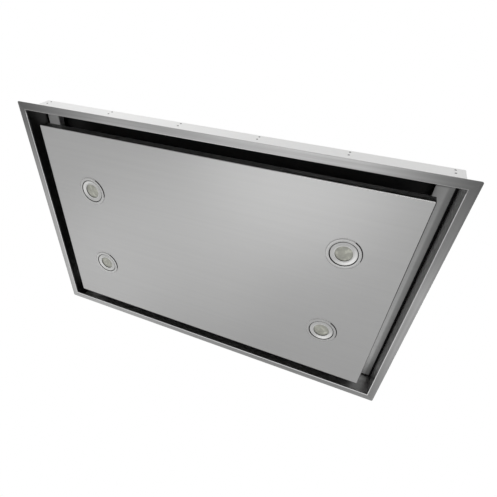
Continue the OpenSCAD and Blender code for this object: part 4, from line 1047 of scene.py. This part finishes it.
@dataclass(frozen=True)
class Finishes:
    """Every finish of the hood, built."""

    panel: Material
    fold: Material
    bend: Material
    flange: Material
    liner: Material
    zinc: Material
    zinc_box: Material
    casing: Material
    wheel: Material
    rivet: Material
    fixing: Material
    spring: Material
    seal: Material
    black_coat: Material
    magnet: Material
    anodised: Material
    strand: Material
    motor: Material
    dark_plastic: Material
    duct: Material
    flap: Material
    rubber: Material
    board: Material
    white: Material
    lamp: Material
    lamp_ring: Material
    lamp_side: Material
    optic: Material
    sink: Material

    @classmethod
    def make(cls, fx: Effects) -> "Finishes":
        """Build the materials from their finishes."""
        return cls(**{key: finish.material(fx) for key, finish in FINISHES.items()})


# ---- geometry nodes ----

VECTOR, LENGTH, COUNT = "NodeSocketVector", "NodeSocketFloat", "NodeSocketInt"


def pattern_tree(name: str, sizes: dict[str, str], lay_out: Callable[[Wiring, Sockets], Socket]) -> Tree:
    """Make a geometry tree that repeats one small shape.

    Args:
        name: Name of the tree.
        sizes: Its inputs between the shape and the finish, with their kinds.
        lay_out: Places the copies.

    Returns:
        The tree, which ends in Realize Instances and Set Material.
    """
    tree = bpy.data.node_groups.new(name, "GeometryNodeTree")
    for key, kind in {"Shape": "NodeSocketGeometry", **sizes, "Finish": "NodeSocketMaterial"}.items():
        tree.interface.new_socket(name=key, in_out="INPUT", socket_type=kind)
    tree.interface.new_socket(name="Pieces", in_out="OUTPUT", socket_type="NodeSocketGeometry")
    w = Wiring(tree)
    given = w.node("NodeGroupInput").outputs
    real = w.node("GeometryNodeRealizeInstances", {0: lay_out(w, given)}).outputs[0]
    painted = w.node("GeometryNodeSetMaterial", {"Geometry": real, "Material": given["Finish"]}).outputs[0]
    w.node("NodeGroupOutput", {0: painted})
    return tree


def instance(w: Wiring, points: Socket, shape: Socket) -> Socket:
    """Place a shape on every point."""
    return w.node("GeometryNodeInstanceOnPoints", {"Points": points, "Instance": shape}).outputs[0]


def line(w: Wiring, count: object, start: object, step: object) -> Socket:
    """Make a line of points."""
    return w.node("GeometryNodeMeshLine", {"Count": count, "Start Location": start, "Offset": step},
                  mode="OFFSET").outputs[0]


def in_rows(w: Wiring, given: Sockets) -> Socket:
    """Repeat the shape in rows, as for rivets and expanded mesh."""
    row = instance(w, line(w, given["Count"], given["First"], given["Step"]), given["Shape"])
    return instance(w, line(w, given["Rows"], (0.0, 0.0, 0.0), given["Row Step"]), row)


def round_border(w: Wiring, given: Sockets) -> Socket:
    """Set the shape at even steps round a rectangle, as for screws in a flange.

    Args:
        w: Wiring of the tree.
        given: The tree's inputs.

    Returns:
        The placed copies.
    """
    outline = w.node("GeometryNodeCurvePrimitiveQuadrilateral", {"Width": given["Length"], "Height": given["Depth"]})
    even = w.node("GeometryNodeResampleCurve", {"Curve": outline.outputs[0], "Count": given["Count"]})
    copies = instance(w, even.outputs[0], given["Shape"])
    return w.node("GeometryNodeSetPosition", {"Geometry": copies, "Offset": given["Place"]}).outputs[0]


def round_ring(w: Wiring, given: Sockets) -> Socket:
    """Set the shape round a circle whose axis lies along X, as for flange screws.

    Args:
        w: Wiring of the tree.
        given: The tree's inputs.

    Returns:
        The placed copies.
    """
    ring = w.node("GeometryNodeMeshCircle", {"Vertices": given["Count"], "Radius": given["Radius"]})
    copies = instance(w, ring.outputs[0], given["Shape"])
    return w.node("GeometryNodeTransform", {"Geometry": copies, "Rotation": (0.0, math.pi / 2.0, 0.0),
                                            "Translation": given["Centre"]}).outputs[0]


@dataclass(frozen=True)
class Patterns:
    """The geometry trees."""

    row: Tree
    border: Tree
    ring: Tree

    @classmethod
    def make(cls) -> "Patterns":
        """Build every tree once."""
        return cls(
            pattern_tree("row_pattern", {"First": VECTOR, "Step": VECTOR, "Count": COUNT, "Row Step": VECTOR,
                                         "Rows": COUNT}, in_rows),
            pattern_tree("border_pattern", {"Length": LENGTH, "Depth": LENGTH, "Count": COUNT, "Place": VECTOR},
                         round_border),
            pattern_tree("ring_pattern", {"Radius": LENGTH, "Count": COUNT, "Centre": VECTOR}, round_ring))


def repeated(name: str, shape: Shape, tree: Tree, finish: Material, smooth_below: float = 40.0,
             **values: object) -> Piece:
    """Repeat a small shape with a geometry tree and keep the result as a plain mesh.

    Args:
        name: Name of the piece.
        shape: The shape, about the origin.
        tree: The geometry tree.
        finish: Material of every copy.
        smooth_below: Smoothing of the shape, in degrees.
        **values: The tree's inputs by name.

    Returns:
        The new object.
    """
    obj = add_object(name, mesh_from(shape, name, smooth_below))
    modifier = obj.modifiers.new("repeat", "NODES")
    modifier.node_group = tree
    keys = {item.name: item.identifier for item in tree.interface.items_tree if item.in_out == "INPUT"}
    for key, value in {**values, "Finish": finish}.items():
        modifier[keys[key.replace("_", " ")]] = value
    return baked(obj)


def joined_piece(name: str, parts: Sequence[Piece]) -> Piece:
    """Join several plain pieces into one and remove them.

    Args:
        name: Name of the new piece.
        parts: The pieces, which are removed.

    Returns:
        The new object.
    """
    bm = bmesh.new()
    materials: list[Material] = []
    for part in parts:
        for material in part.data.materials:
            if material not in materials:
                materials.append(material)
    for part in parts:
        first = len(bm.faces)
        bm.from_mesh(part.data)
        bm.faces.ensure_lookup_table()
        turn = [materials.index(m) for m in part.data.materials] or [0]
        for face in bm.faces[first:]:
            face.material_index = turn[face.material_index]
    obj = add_object(name, mesh_from(bm, name, 40.0))
    for material in materials:
        obj.data.materials.append(material)
    for part in parts:
        bpy.data.objects.remove(part)
    return obj


def domed_head(radius: float, height: float, axis: Matrix, segments: int = 12) -> Shape:
    """Make a low domed rivet head.

    Args:
        radius: Radius at its foot.
        height: Height of the dome.
        axis: Turn that points +Z along the head's axis.
        segments: Steps round it.

    Returns:
        The head about the origin.
    """
    bm = bmesh.new()
    steps = 4
    outline = [(0.0, 0.0), (radius, 0.0)]
    outline += [(radius * math.cos(math.pi / 2 * i / steps), height * math.sin(math.pi / 2 * i / steps))
                for i in range(1, steps)] + [(0.0, height)]
    lathe(bm, outline, (0.0, 0.0, 0.0), segments)
    bmesh.ops.transform(bm, matrix=axis, verts=bm.verts)
    return bm


def cross_head(radius: float, height: float, axis: Matrix) -> Shape:
    """Make a pan-head screw with a cross recess.

    Args:
        radius: Radius of the head.
        height: Height of the head.
        axis: Turn that points +Z along the screw's axis.

    Returns:
        The head about the origin.
    """
    bm = bmesh.new()
    count = 12

    def ring(level: float, reach: Callable[[int], float]) -> list[bmesh.types.BMVert]:
        """Make one ring of the head at a level."""
        turns = [2 * math.pi * i / count for i in range(count)]
        return [bm.verts.new((reach(i) * math.cos(turn), reach(i) * math.sin(turn), level))
                for i, turn in enumerate(turns)]

    star = {0: 0.46, 1: 0.16, 2: 0.16}
    rings = [
        ring(0.0, lambda i: radius), ring(height * 0.45, lambda i: radius),
        ring(height * 0.85, lambda i: radius * 0.86), ring(height, lambda i: radius * 0.62),
        ring(height, lambda i: radius * star[i % 3]),
        ring(height * 0.45, lambda i: radius * star[i % 3] * 0.7),
    ]
    for low, high in zip(rings, rings[1:]):
        for i in range(count):
            bm.faces.new((low[i], low[(i + 1) % count], high[(i + 1) % count], high[i]))
    bm.faces.new(reversed(rings[0]))
    bm.faces.new(rings[-1])
    bmesh.ops.transform(bm, matrix=axis, verts=bm.verts)
    return bm


def diamond_tile(length: float, depth: float, strand: float, sheet: float) -> Shape:
    """Make one tile of expanded mesh: four slanting strands round a diamond opening.

    Args:
        length: Size of the tile along X.
        depth: Size of the tile along Y.
        strand: Width of a strand.
        sheet: Thickness of a strand.

    Returns:
        The tile, from the origin.
    """
    bm = bmesh.new()
    corners = [Vector((0.0, depth / 2)), Vector((length / 2, depth)), Vector((length, depth / 2)),
               Vector((length / 2, 0.0))]
    for i, start in enumerate(corners):
        end = corners[(i + 1) % 4]
        along = (end - start).normalized()
        side = Vector((-along.y, along.x)) * strand / 2
        tilt = sheet * (0.5 if i % 2 else -0.5)
        low = [(*(start - side), -sheet / 2 - tilt), (*(end - side), -sheet / 2 - tilt),
               (*(end + side), -sheet / 2 + tilt), (*(start + side), -sheet / 2 + tilt)]
        bottom = [bm.verts.new(p) for p in low]
        top = [bm.verts.new((p[0], p[1], p[2] + sheet)) for p in low]
        bm.faces.new(reversed(bottom))
        bm.faces.new(top)
        for a in (0, 2):
            b = (a + 1) % 4
            bm.faces.new((bottom[a], bottom[b], top[b], top[a]))
    return bm


UP = Matrix.Identity(4)
OUT_NEAR = Matrix.Rotation(math.pi / 2, 4, "X")
OUT_FAR = Matrix.Rotation(-math.pi / 2, 4, "X")
OUT_RIGHT = Matrix.Rotation(math.pi / 2, 4, "Y")
OUT_LEFT = Matrix.Rotation(-math.pi / 2, 4, "Y")


# ---- the hood's sub-assemblies ----


@dataclass
class CeilingFrame:
    """Visible stainless frame: flange, folded hem and the recess's upright wall."""

    wall_x: float = FRAME_HALF_X - 0.020
    wall_y: float = FRAME_HALF_Y - 0.020
    bend: float = 0.0018

    def build(self, finishes: Finishes) -> Piece:
        """Make the frame with a rounded bend between flange and wall.

        Args:
            finishes: The hood's finishes.

        Returns:
            The finished piece.
        """
        bm = merged_copy("ceiling_frame")
        soften(bm, lambda e: on_level(e, FACE) and on_rim(e, self.wall_x, self.wall_y), self.bend)
        obj = settle(sheet_piece(bm, "flange_and_wall"), "hood", finishes.flange, ("ceiling_frame",))
        # the bend faces take a painted highlight, with painted shade along the near side
        second_finish(obj, finishes.bend, self.is_bend)
        return obj

    def is_bend(self, face: Face) -> bool:
        """Say whether a face belongs to the rounded bend between flange and wall.

        Args:
            face: A face of the piece.

        Returns:
            Whether it does.
        """
        middle = face.center
        past_x, past_y = abs(middle.x) - self.wall_x, abs(middle.y) - self.wall_y
        beside = (abs(past_x) < self.bend or abs(past_y) < self.bend) and max(past_x, past_y) < self.bend
        return beside and FACE < middle.z < FACE + self.bend and UPRIGHT_TILT < abs(face.normal.z) < FLAT_TILT


@dataclass
class RivetLine:
    """One wall's rivet pairs."""

    name: str
    half: float
    pairs: int
    axis: Matrix
    wall: float
    along_x: bool


@dataclass
class Casing:
    """Galvanised outer casing with its rivets."""

    half_length: float = 0.5322
    half_depth: float = 0.3322
    top: float = 0.088
    end_margin: float = 0.020
    lower_row: float = 0.0635
    pair_gap: float = 0.016
    rivet_radius: float = 0.0025
    rivet_height: float = 0.001
    bend: float = 0.0016

    def build_shell(self, finishes: Finishes) -> Piece:
        """Make the casing with a rounded fold at its top.

        Args:
            finishes: The hood's finishes.

        Returns:
            The finished piece.
        """
        bm = merged_copy("casing")
        soften(bm, lambda e: on_level(e, self.top) and on_rim(e, self.half_length, self.half_depth), self.bend)
        return settle(sheet_piece(bm, "casing_shell"), "hood", finishes.casing, ("casing",))

    def build_rivets(self, finishes: Finishes, patterns: Patterns) -> Piece:
        """Make the rivet pairs of all four walls.

        Args:
            finishes: The hood's finishes.
            patterns: The geometry trees.

        Returns:
            The finished piece.
        """
        walls = (
            RivetLine("near", self.half_length, 6, OUT_NEAR, -self.half_depth, True),
            RivetLine("far", self.half_length, 6, OUT_FAR, self.half_depth, True),
            RivetLine("right", self.half_depth, 4, OUT_RIGHT, self.half_length, False),
            RivetLine("left", self.half_depth, 4, OUT_LEFT, -self.half_length, False),
        )
        rows = []
        for wall in walls:
            first = wall.half - self.end_margin
            step = 2.0 * first / (wall.pairs - 1)
            start = (-first, wall.wall, self.lower_row) if wall.along_x else (wall.wall, -first, self.lower_row)
            rows.append(repeated(
                f"rivets_{wall.name}", domed_head(self.rivet_radius, self.rivet_height, wall.axis), patterns.row,
                finishes.rivet, First=start, Step=(step, 0.0, 0.0) if wall.along_x else (0.0, step, 0.0),
                Count=wall.pairs, Row_Step=(0.0, 0.0, self.pair_gap), Rows=2))
        return settle(joined_piece("casing_rivet_heads", rows), "hood", None, ("casing_rivets",))


@dataclass
class RecessLining:
    """Stainless ledge and its foam seal."""

    open_x: float = 0.488
    open_y: float = 0.302
    ledge: float = 0.068
    bend: float = 0.0009

    def build(self, finishes: Finishes) -> Piece:
        """Make the ledge with rounded lips.

        Args:
            finishes: The hood's finishes.

        Returns:
            The finished piece.
        """
        bm = merged_copy("ledge_liner")
        soften(bm, lambda e: on_level(e, self.ledge) and on_rim(e, self.open_x, self.open_y), self.bend)
        # the near-black seal stands in for the shade in the slit between ledge and wall
        dress(finishes.seal, "liner_seal")
        return settle(sheet_piece(bm, "ledge_lining"), "hood", finishes.liner, ("ledge_liner",))


@dataclass
class Plenum:
    """Upper box with the filter deck, and screws in its foot."""

    foot: float = 0.014
    foot_top: float = 0.089
    bend: float = 0.0014
    screws: int = 36
    screw_radius: float = 0.0036
    screw_height: float = 0.0022

    def build(self, finishes: Finishes, patterns: Patterns) -> list[Piece]:
        """Make the box and its foot screws.

        Args:
            finishes: The hood's finishes.
            patterns: The geometry trees.

        Returns:
            The finished pieces.
        """
        bm = merged_copy("plenum_box")
        soften(bm, lambda e: on_level(e, PLENUM_TOP) and on_rim(e, PLENUM_HALF_X, PLENUM_HALF_Y), self.bend)
        shell = settle(sheet_piece(bm, "plenum_shell"), "hood", finishes.zinc_box, ("plenum_box",))
        screws = repeated(
            "plenum_foot_screws", cross_head(self.screw_radius, self.screw_height, UP), patterns.border,
            finishes.fixing, Length=2 * PLENUM_HALF_X + self.foot, Depth=2 * PLENUM_HALF_Y + self.foot,
            Count=self.screws, Place=(0.0, 0.0, self.foot_top))
        # the deck's matt black also stands in for the shade inside the plenum
        dress(finishes.black_coat, "filter_deck")
        dress(finishes.spring, "filter_clips")
        return [shell, settle(screws, "hood")]


@dataclass
class SpotLamps:
    """Four flush spot lamps in the panel."""

    places: tuple[tuple[float, float], ...] = tuple((x * 0.355, y * 0.130) for x in SIDES for y in SIDES)
    bezel_radius: float = 0.042
    bezel: float = 0.0020
    bezel_slope: float = 0.0022
    sloping_below: float = 0.9
    side_from: float = 0.25
    side_to: float = 0.15
    upright_below: float = 0.7
    outer_reach: float = 0.0006
    inner_reach: float = 0.0001
    groove_radius: float = 0.0333
    neck_radius: float = 0.0348
    neck_top: float = 0.007
    ring_radius: float = 0.0315
    ring_low: float = -0.0034
    lens_radius: float = 0.0205
    lens_low: float = -0.0006
    lens_sheet: float = 0.003
    lens_sag: float = 0.0009
    facet_rings: int = 6
    facets: int = 36
    facet_height: float = 0.0002

    def turned(self, name: str, outline: Profile, finish: Material, node: str) -> Piece:
        """Revolve an outline at every lamp's place, for the rings of one CAD node.

        Args:
            name: Name of the piece.
            outline: Closed outline of radii and heights.
            finish: Material of the rings.
            node: CAD node that they replace.

        Returns:
            The finished piece.
        """
        bm = bmesh.new()
        for x, y in self.places:
            lathe(bm, outline, (x, y, 0.0))
        return settle(add_object(name, mesh_from(bm, name)), "panel", finish, (node,))

    def build_bezels(self, finishes: Finishes) -> Piece:
        """Make the raised bezels and their necks.

        Args:
            finishes: The hood's finishes.

        Returns:
            The finished piece.
        """
        low = FACE - self.bezel
        outline = fillet(
            [(self.groove_radius, low), (self.bezel_radius - self.bezel_slope, low),
             (self.bezel_radius, low + self.bezel * 0.8), (self.bezel_radius, FACE),
             (self.neck_radius, FACE), (self.neck_radius, self.neck_top), (self.groove_radius, self.neck_top)],
            [0.0005, 0.0006, 0.0002, 0.0, 0.0, 0.0, 0.0])
        rings = self.turned("lamp_bezel_rings", outline, finishes.lamp, "lamp_bezels")
        # painted shade on the bezel faces turned away from the light
        second_finish(rings, finishes.lamp_side, self.is_unlit)
        return rings

    def is_unlit(self, face: Face) -> bool:
        """Say whether a sloping or upright face is turned to the dark side of the room, where its shade is painted.
        """
        sloping = abs(face.normal.z) < self.sloping_below
        return sloping and face.normal.x > self.side_from and face.normal.y < self.side_to

    def build_rings(self, finishes: Finishes) -> Piece:
        """Make the dished inner rings.

        Args:
            finishes: The hood's finishes.

        Returns:
            The finished piece.
        """
        inner = self.lens_radius
        step = inner + 0.0020
        outline = fillet(
            [(inner, 0.0012), (inner, -0.0021), (step, -0.0021), (step + 0.0003, -0.0013),
             (step + 0.0012, -0.0018), (self.ring_radius - 0.0016, self.ring_low + 0.0003),
             (self.ring_radius - 0.0008, self.ring_low), (self.ring_radius, self.ring_low + 0.0008),
             (self.ring_radius, self.neck_top), (self.ring_radius - 0.003, self.neck_top),
             (inner, self.lens_low + self.lens_sheet)],
            [0.0, 0.0003, 0.0003, 0.0, 0.0003, 0.0004, 0.0003, 0.0004, 0.0, 0.0, 0.0])
        rings = self.turned("lamp_dished_rings", outline, finishes.lamp_ring, "lamp_rings")
        # painted shade on the rings' upright sides
        second_finish(rings, finishes.lamp_side, self.is_outer_side)
        return rings

    def is_outer_side(self, face: Face) -> bool:
        """Say whether a ring's face is its upright outer or inner side, which takes painted shade.

        Args:
            face: A face of the piece.

        Returns:
            Whether it is.
        """
        middle = face.center
        reach = min(math.hypot(middle.x - x, middle.y - y) for x, y in self.places)
        at_side = reach > self.ring_radius - self.outer_reach or reach < self.lens_radius + self.inner_reach
        return abs(face.normal.z) < self.upright_below and at_side

    def build_optics(self, finishes: Finishes) -> Piece:
        """Make the faceted optics, a low pyramid in each cell of a ring pattern.

        Args:
            finishes: The hood's finishes.

        Returns:
            The finished piece.
        """
        bm = bmesh.new()
        for x, y in self.places:
            self.add_optic(bm, x, y)
        return settle(add_object("lamp_optics", mesh_from(bm, "lamp_optics", 0.0)), "panel",
                      finishes.optic, ("lamp_lenses",))

    def add_optic(self, bm: Shape, x: float, y: float) -> None:
        """Add one optic at a lamp's place.

        Args:
            bm: The bmesh that takes the faces.
            x: The lamp's place along X.
            y: The lamp's place along Y.
        """
        top = self.lens_low + self.lens_sheet
        count = self.facets
        rings: list[list[bmesh.types.BMVert]] = []
        for step in range(1, self.facet_rings + 1):
            r = self.lens_radius * step / self.facet_rings
            level = self.lens_low + self.lens_sag * (r / self.lens_radius) ** 2
            shift = math.pi / count * (step % 2)
            rings.append([bm.verts.new((x + r * math.cos(2 * math.pi * i / count + shift),
                                        y + r * math.sin(2 * math.pi * i / count + shift), level))
                          for i in range(count)])
        middle = bm.verts.new((x, y, self.lens_low))
        faces = [bm.faces.new((middle, rings[0][(i + 1) % count], rings[0][i])) for i in range(count)]
        for step, (near, far) in enumerate(zip(rings, rings[1:])):
            lag = (step + 1) % 2
            for i in range(count):
                j = (i + 1) % count
                quad = (near[i], near[j], far[(j - lag) % count], far[(i - lag) % count])
                centre = sum((v.co for v in quad), Vector()) / 4.0
                peak = bm.verts.new((centre.x, centre.y, centre.z - self.facet_height))
                for k in range(4):
                    faces.append(bm.faces.new((quad[k], quad[(k + 1) % 4], peak)))
        back = [bm.verts.new((v.co.x, v.co.y, top)) for v in rings[-1]]
        for i in range(count):
            j = (i + 1) % count
            faces.append(bm.faces.new((rings[-1][i], rings[-1][j], back[j], back[i])))
        faces.append(bm.faces.new(back))
        bmesh.ops.recalc_face_normals(bm, faces=faces)

    def build(self, finishes: Finishes) -> list[Piece]:
        """Make the lamps and dress their hidden parts.

        Args:
            finishes: The hood's finishes.

        Returns:
            The finished pieces.
        """
        dress(finishes.sink, "lamp_heat_sinks")
        dress(finishes.spring, "lamp_clips")
        return [self.build_bezels(finishes), self.build_rings(finishes), self.build_optics(finishes)]


@dataclass
class Panel:
    """Flush hinged panel with its channels, leaves and strikers."""

    half_length: float = 0.492
    half_depth: float = 0.296
    sheet: float = 0.001
    lip_top: float = 0.023
    corner: float = 0.0021
    outer_bend: float = 0.0018
    inner_bend: float = 0.0008
    lip_bend: float = 0.0012

    def build(self, finishes: Finishes) -> Piece:
        """Make the tray with its folded edges rounded, painted shade up its returns and a painted highlight on its
        near bend.

        Args:
            finishes: The hood's finishes.

        Returns:
            The finished piece.
        """
        bm = merged_copy("panel_skin")
        for level, bend, steps in ((FACE, self.outer_bend, 6), (FACE + self.sheet, self.inner_bend, 4),
                                   (self.lip_top, self.lip_bend, 4)):
            soften(bm, lambda e, at=level: on_level(e, at) and near_rim(e, self.half_length, self.half_depth,
                                                                        self.corner), bend, steps)
        dress(finishes.zinc, "panel_channels", "hinge_leaves")
        dress(finishes.fixing, "striker_plates")
        tray = settle(sheet_piece(bm, "panel_tray"), "panel", finishes.panel, ("panel_skin",))
        # the returns and outer bends take the painted shade and painted highlight of the folded edge
        second_finish(tray, finishes.fold, self.is_return)
        return tray

    def is_return(self, face: Face) -> bool:
        """Say whether a face of the tray belongs to its outer bends or its upright returns.

        Args:
            face: A face of the piece.

        Returns:
            Whether it does.
        """
        middle = face.center
        outside = (abs(middle.x) > self.half_length - self.outer_bend
                   or abs(middle.y) > self.half_depth - self.outer_bend)
        return outside and abs(face.normal.z) < FLAT_TILT and middle.z < self.lip_top - self.lip_bend


@dataclass
class GreaseFilters:
    """Three cassettes with layers of expanded aluminium mesh."""

    pitch: float = 0.310
    inner_length: float = 0.2864
    inner_depth: float = 0.4264
    middle: float = 0.0952
    layer_gap: float = 0.0022
    tile_length: float = 0.0110
    tile_depth: float = 0.0062
    strand: float = 0.0009
    sheet: float = 0.0006

    def build_pad(self, name: str, place: int, finishes: Finishes, patterns: Patterns) -> Piece:
        """Make the mesh layers of one cassette.

        Args:
            name: Name of the cassette.
            place: Its step from the middle: -1, 0 or 1.
            finishes: The hood's finishes.
            patterns: The geometry trees.

        Returns:
            The finished piece.
        """
        columns = int(self.inner_length // self.tile_length)
        rows = int(self.inner_depth // self.tile_depth)
        layers = []
        for layer in (-1, 0, 1):
            shift = self.tile_length * 0.25 * layer
            start = (place * self.pitch - columns * self.tile_length / 2 + shift / 2,
                     -rows * self.tile_depth / 2 + shift / 4, self.middle + layer * self.layer_gap)
            tile = diamond_tile(self.tile_length, self.tile_depth, self.strand, self.sheet)
            layers.append(repeated(
                f"mesh_layer_{name}_{layer + 1}", tile, patterns.row, finishes.strand, 20.0,
                First=start, Step=(self.tile_length, 0.0, 0.0), Count=columns,
                Row_Step=(0.0, self.tile_depth, 0.0), Rows=rows))
        return settle(joined_piece(f"expanded_mesh_{name}", layers), f"filter_{name}", None,
                      (f"filter_mesh_{name}",))

    def build(self, finishes: Finishes, patterns: Patterns) -> list[Piece]:
        """Make all three pads and dress the cassettes."""
        for name in FILTER_PLACES:
            dress(finishes.anodised, f"filter_frame_{name}", f"filter_handle_{name}")
        return [self.build_pad(name, place, finishes, patterns) for name, place in FILTER_PLACES.items()]


@dataclass
class Blower:
    """Scroll, wheel, motor and duct, and screws in the flange between outlet and collar."""

    flange_face: float = 0.1612
    centre_y: float = -0.065
    centre_z: float = 0.234
    screw_circle: float = 0.0785
    screws: int = 8
    screw_radius: float = 0.0024
    screw_height: float = 0.0018

    def build(self, finishes: Finishes, patterns: Patterns) -> list[Piece]:
        """Dress the blower and set the screws of the duct's flange.

        Args:
            finishes: The hood's finishes.
            patterns: The geometry trees.

        Returns:
            The finished pieces.
        """
        dress(finishes.zinc, "inlet_ring", "scroll_housing", "scroll_cover")
        dress(finishes.wheel, "impeller", "impeller_blades")
        dress(finishes.fixing, "motor_shaft", "flap_pin")
        dress(finishes.motor, "motor")
        dress(finishes.rubber, "motor_bushes")
        dress(finishes.dark_plastic, "motor_cap")
        dress(finishes.duct, "outlet_adapter", "duct_collar")
        dress(finishes.flap, "flap_front", "flap_back")
        screws = repeated(
            "collar_flange_screws", cross_head(self.screw_radius, self.screw_height, UP), patterns.ring,
            finishes.fixing, Radius=self.screw_circle, Count=self.screws,
            Centre=(self.flange_face, self.centre_y, self.centre_z))
        return [settle(screws, "hood")]


@dataclass
class Services:
    """Control box, lamp driver, hangers, hinges and catches, which are shown as the source makes them."""

    def dress(self, finishes: Finishes) -> None:
        """Dress the services.

        Args:
            finishes: The hood's finishes.
        """
        dress(finishes.zinc, "control_box", "control_box_lid", "hanger_brackets", "hinge_brackets")
        dress(finishes.board, "control_board")
        dress(finishes.white, "run_capacitor", "terminal_block", "lamp_driver")
        dress(finishes.dark_plastic, "cable_gland")
        dress(finishes.fixing, "hanger_screws", "box_screws", "hinge_pins")
        dress(finishes.black_coat, "catch_posts")
        dress(finishes.magnet, "catch_magnets")


# ---- studio ----


@dataclass(frozen=True)
class Softbox:
    """One soft area lamp."""

    name: str
    place: Point
    aim: Point
    size: float
    power: float


@dataclass
class Studio:
    """Camera, floor, world and lamps."""

    floor_level: float = -2.4
    floor_half: float = 40.0
    floor_colour: Colour = (0.80, 0.80, 0.80)
    ambient: float = 0.50
    lens: float = 27.797
    shift: tuple[float, float] = (0.0799, 0.0646)
    turn: Point = (0.694116715, 0.405300945, 0.160606313)
    offset: Point = (-0.0131948811, -0.0605338181, 1.07941477)
    hood_middle: Point = (0.0, 0.0, 0.1)
    glow_level: float = -2.38
    glows: tuple[tuple[str, float, float, float, float], ...] = (
        ("glow_middle", -0.2, 0.7, 1.7, 3.9), ("glow_corner", -3.0, 3.0, 2.2, 4.2),
        ("glow_between", -1.4, 2.0, 2.2, 2.9), ("glow_left", -2.8, 1.4, 2.0, 1.6),
        ("glow_far", 0.8, 2.4, 2.2, 0.7), ("glow_near", 1.6, -6.0, 3.2, 40.0),
    )

    @property
    def softboxes(self) -> list[Softbox]:
        """Return the two aimed lamps and the disks at floor level, which glow straight up."""
        return [Softbox("key", (-2.7, -3.3, 2.9), self.hood_middle, 2.6, 17.0),
                Softbox("fill", (3.0, 2.2, 2.4), self.hood_middle, 2.4, 34.0),
                *(Softbox(name, (x, y, self.glow_level), (x, y, 0.0), size, power)
                  for name, x, y, size, power in self.glows)]

    def build_camera(self) -> Piece:
        """Make the camera from the solved turn and offset of the photograph.

        Returns:
            The camera.
        """
        data = bpy.data.cameras.new("camera")
        data.sensor_width = 36.0
        data.lens = self.lens
        data.shift_x, data.shift_y = self.shift
        data.clip_start, data.clip_end = 0.01, 100.0
        axis = Vector(self.turn)
        rotation = Matrix.Rotation(axis.length, 3, axis.normalized())
        place = -(rotation.transposed() @ Vector(self.offset)) + Vector((0.0, 0.0, FACE))
        right, down, forward = (rotation[i] for i in range(3))
        camera = bpy.data.objects.new("camera", data)
        bpy.context.scene.collection.objects.link(camera)
        camera.matrix_world = Matrix.Translation(place) @ Matrix((right, -down, -forward)).transposed().to_4x4()
        bpy.context.scene.camera = camera
        return camera

    def build_floor(self) -> Piece:
        """Make the plain pale floor under the hung hood.

        Returns:
            The floor.
        """
        half = self.floor_half
        bm = bmesh.new()
        bm.faces.new([bm.verts.new((x * half, y * half, self.floor_level))
                      for x, y in ((-1, -1), (1, -1), (1, 1), (-1, 1))])
        floor = add_object("studio_floor", mesh_from(bm, "studio_floor", 0.0))
        material, w, shader = start_material("pale_floor")
        w.feed(shader.inputs["Base Color"], varied(w, self.floor_colour, 0.01, w.noise(w.place(), 0.6)))
        w.feed(shader.inputs["Roughness"], 0.9)
        floor.data.materials.append(material)
        return floor

    def build_world(self) -> None:
        """Make a world that is white to the eye, to metal and to glass, and lower as light."""
        world = bpy.data.worlds.new("studio_world")
        world.use_nodes = True
        world.node_tree.nodes.clear()
        w = Wiring(world.node_tree)
        rays = w.node("ShaderNodeLightPath").outputs
        seen = w.math("MAXIMUM", w.math("MAXIMUM", rays["Is Camera Ray"], rays["Is Glossy Ray"]),
                      rays["Is Transmission Ray"])
        background = w.node("ShaderNodeBackground", {"Color": (1.0, 1.0, 1.0, 1.0),
                                                     "Strength": w.remap(seen, 0.0, 1.0, self.ambient)})
        w.node("ShaderNodeOutputWorld", {"Surface": background.outputs[0]})
        bpy.context.scene.world = world

    def build_lamps(self) -> None:
        """Make the softboxes."""
        for box in self.softboxes:
            data = bpy.data.lights.new(box.name, "AREA")
            data.shape = "DISK"
            data.size = box.size
            data.energy = box.power
            lamp = bpy.data.objects.new(box.name, data)
            lamp.visible_camera = False
            lamp.location = box.place
            lamp.rotation_euler = (Vector(box.aim) - Vector(box.place)).to_track_quat("-Z", "Y").to_euler()
            bpy.context.scene.collection.objects.link(lamp)

    def build(self) -> None:
        """Make the whole studio."""
        self.build_camera()
        self.build_floor()
        self.build_world()
        self.build_lamps()
        bpy.context.scene.view_settings.view_transform = "Standard"


def note(step: str, pieces: Iterable[Piece]) -> None:
    """Report the pieces that a step made."""
    for piece in pieces:
        log.info("%s: %s, %d faces", step, piece.name, len(piece.data.polygons))


def main() -> None:
    """Build the hood's pieces in order and report each."""
    logging.basicConfig(level=logging.INFO, format="%(name)s %(message)s")
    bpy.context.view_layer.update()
    finishes = Finishes.make(Effects.make())
    patterns = Patterns.make()
    Studio().build()
    note("frame", [CeilingFrame().build(finishes)])
    casing = Casing()
    note("casing", [casing.build_shell(finishes), casing.build_rivets(finishes, patterns)])
    note("lining", [RecessLining().build(finishes)])
    note("plenum", Plenum().build(finishes, patterns))
    note("panel", [Panel().build(finishes)])
    note("lamps", SpotLamps().build(finishes))
    note("filters", GreaseFilters().build(finishes, patterns))
    note("blower", Blower().build(finishes, patterns))
    Services().dress(finishes)
    log.info("services: dressed")


if __name__ == "__main__":
    main()
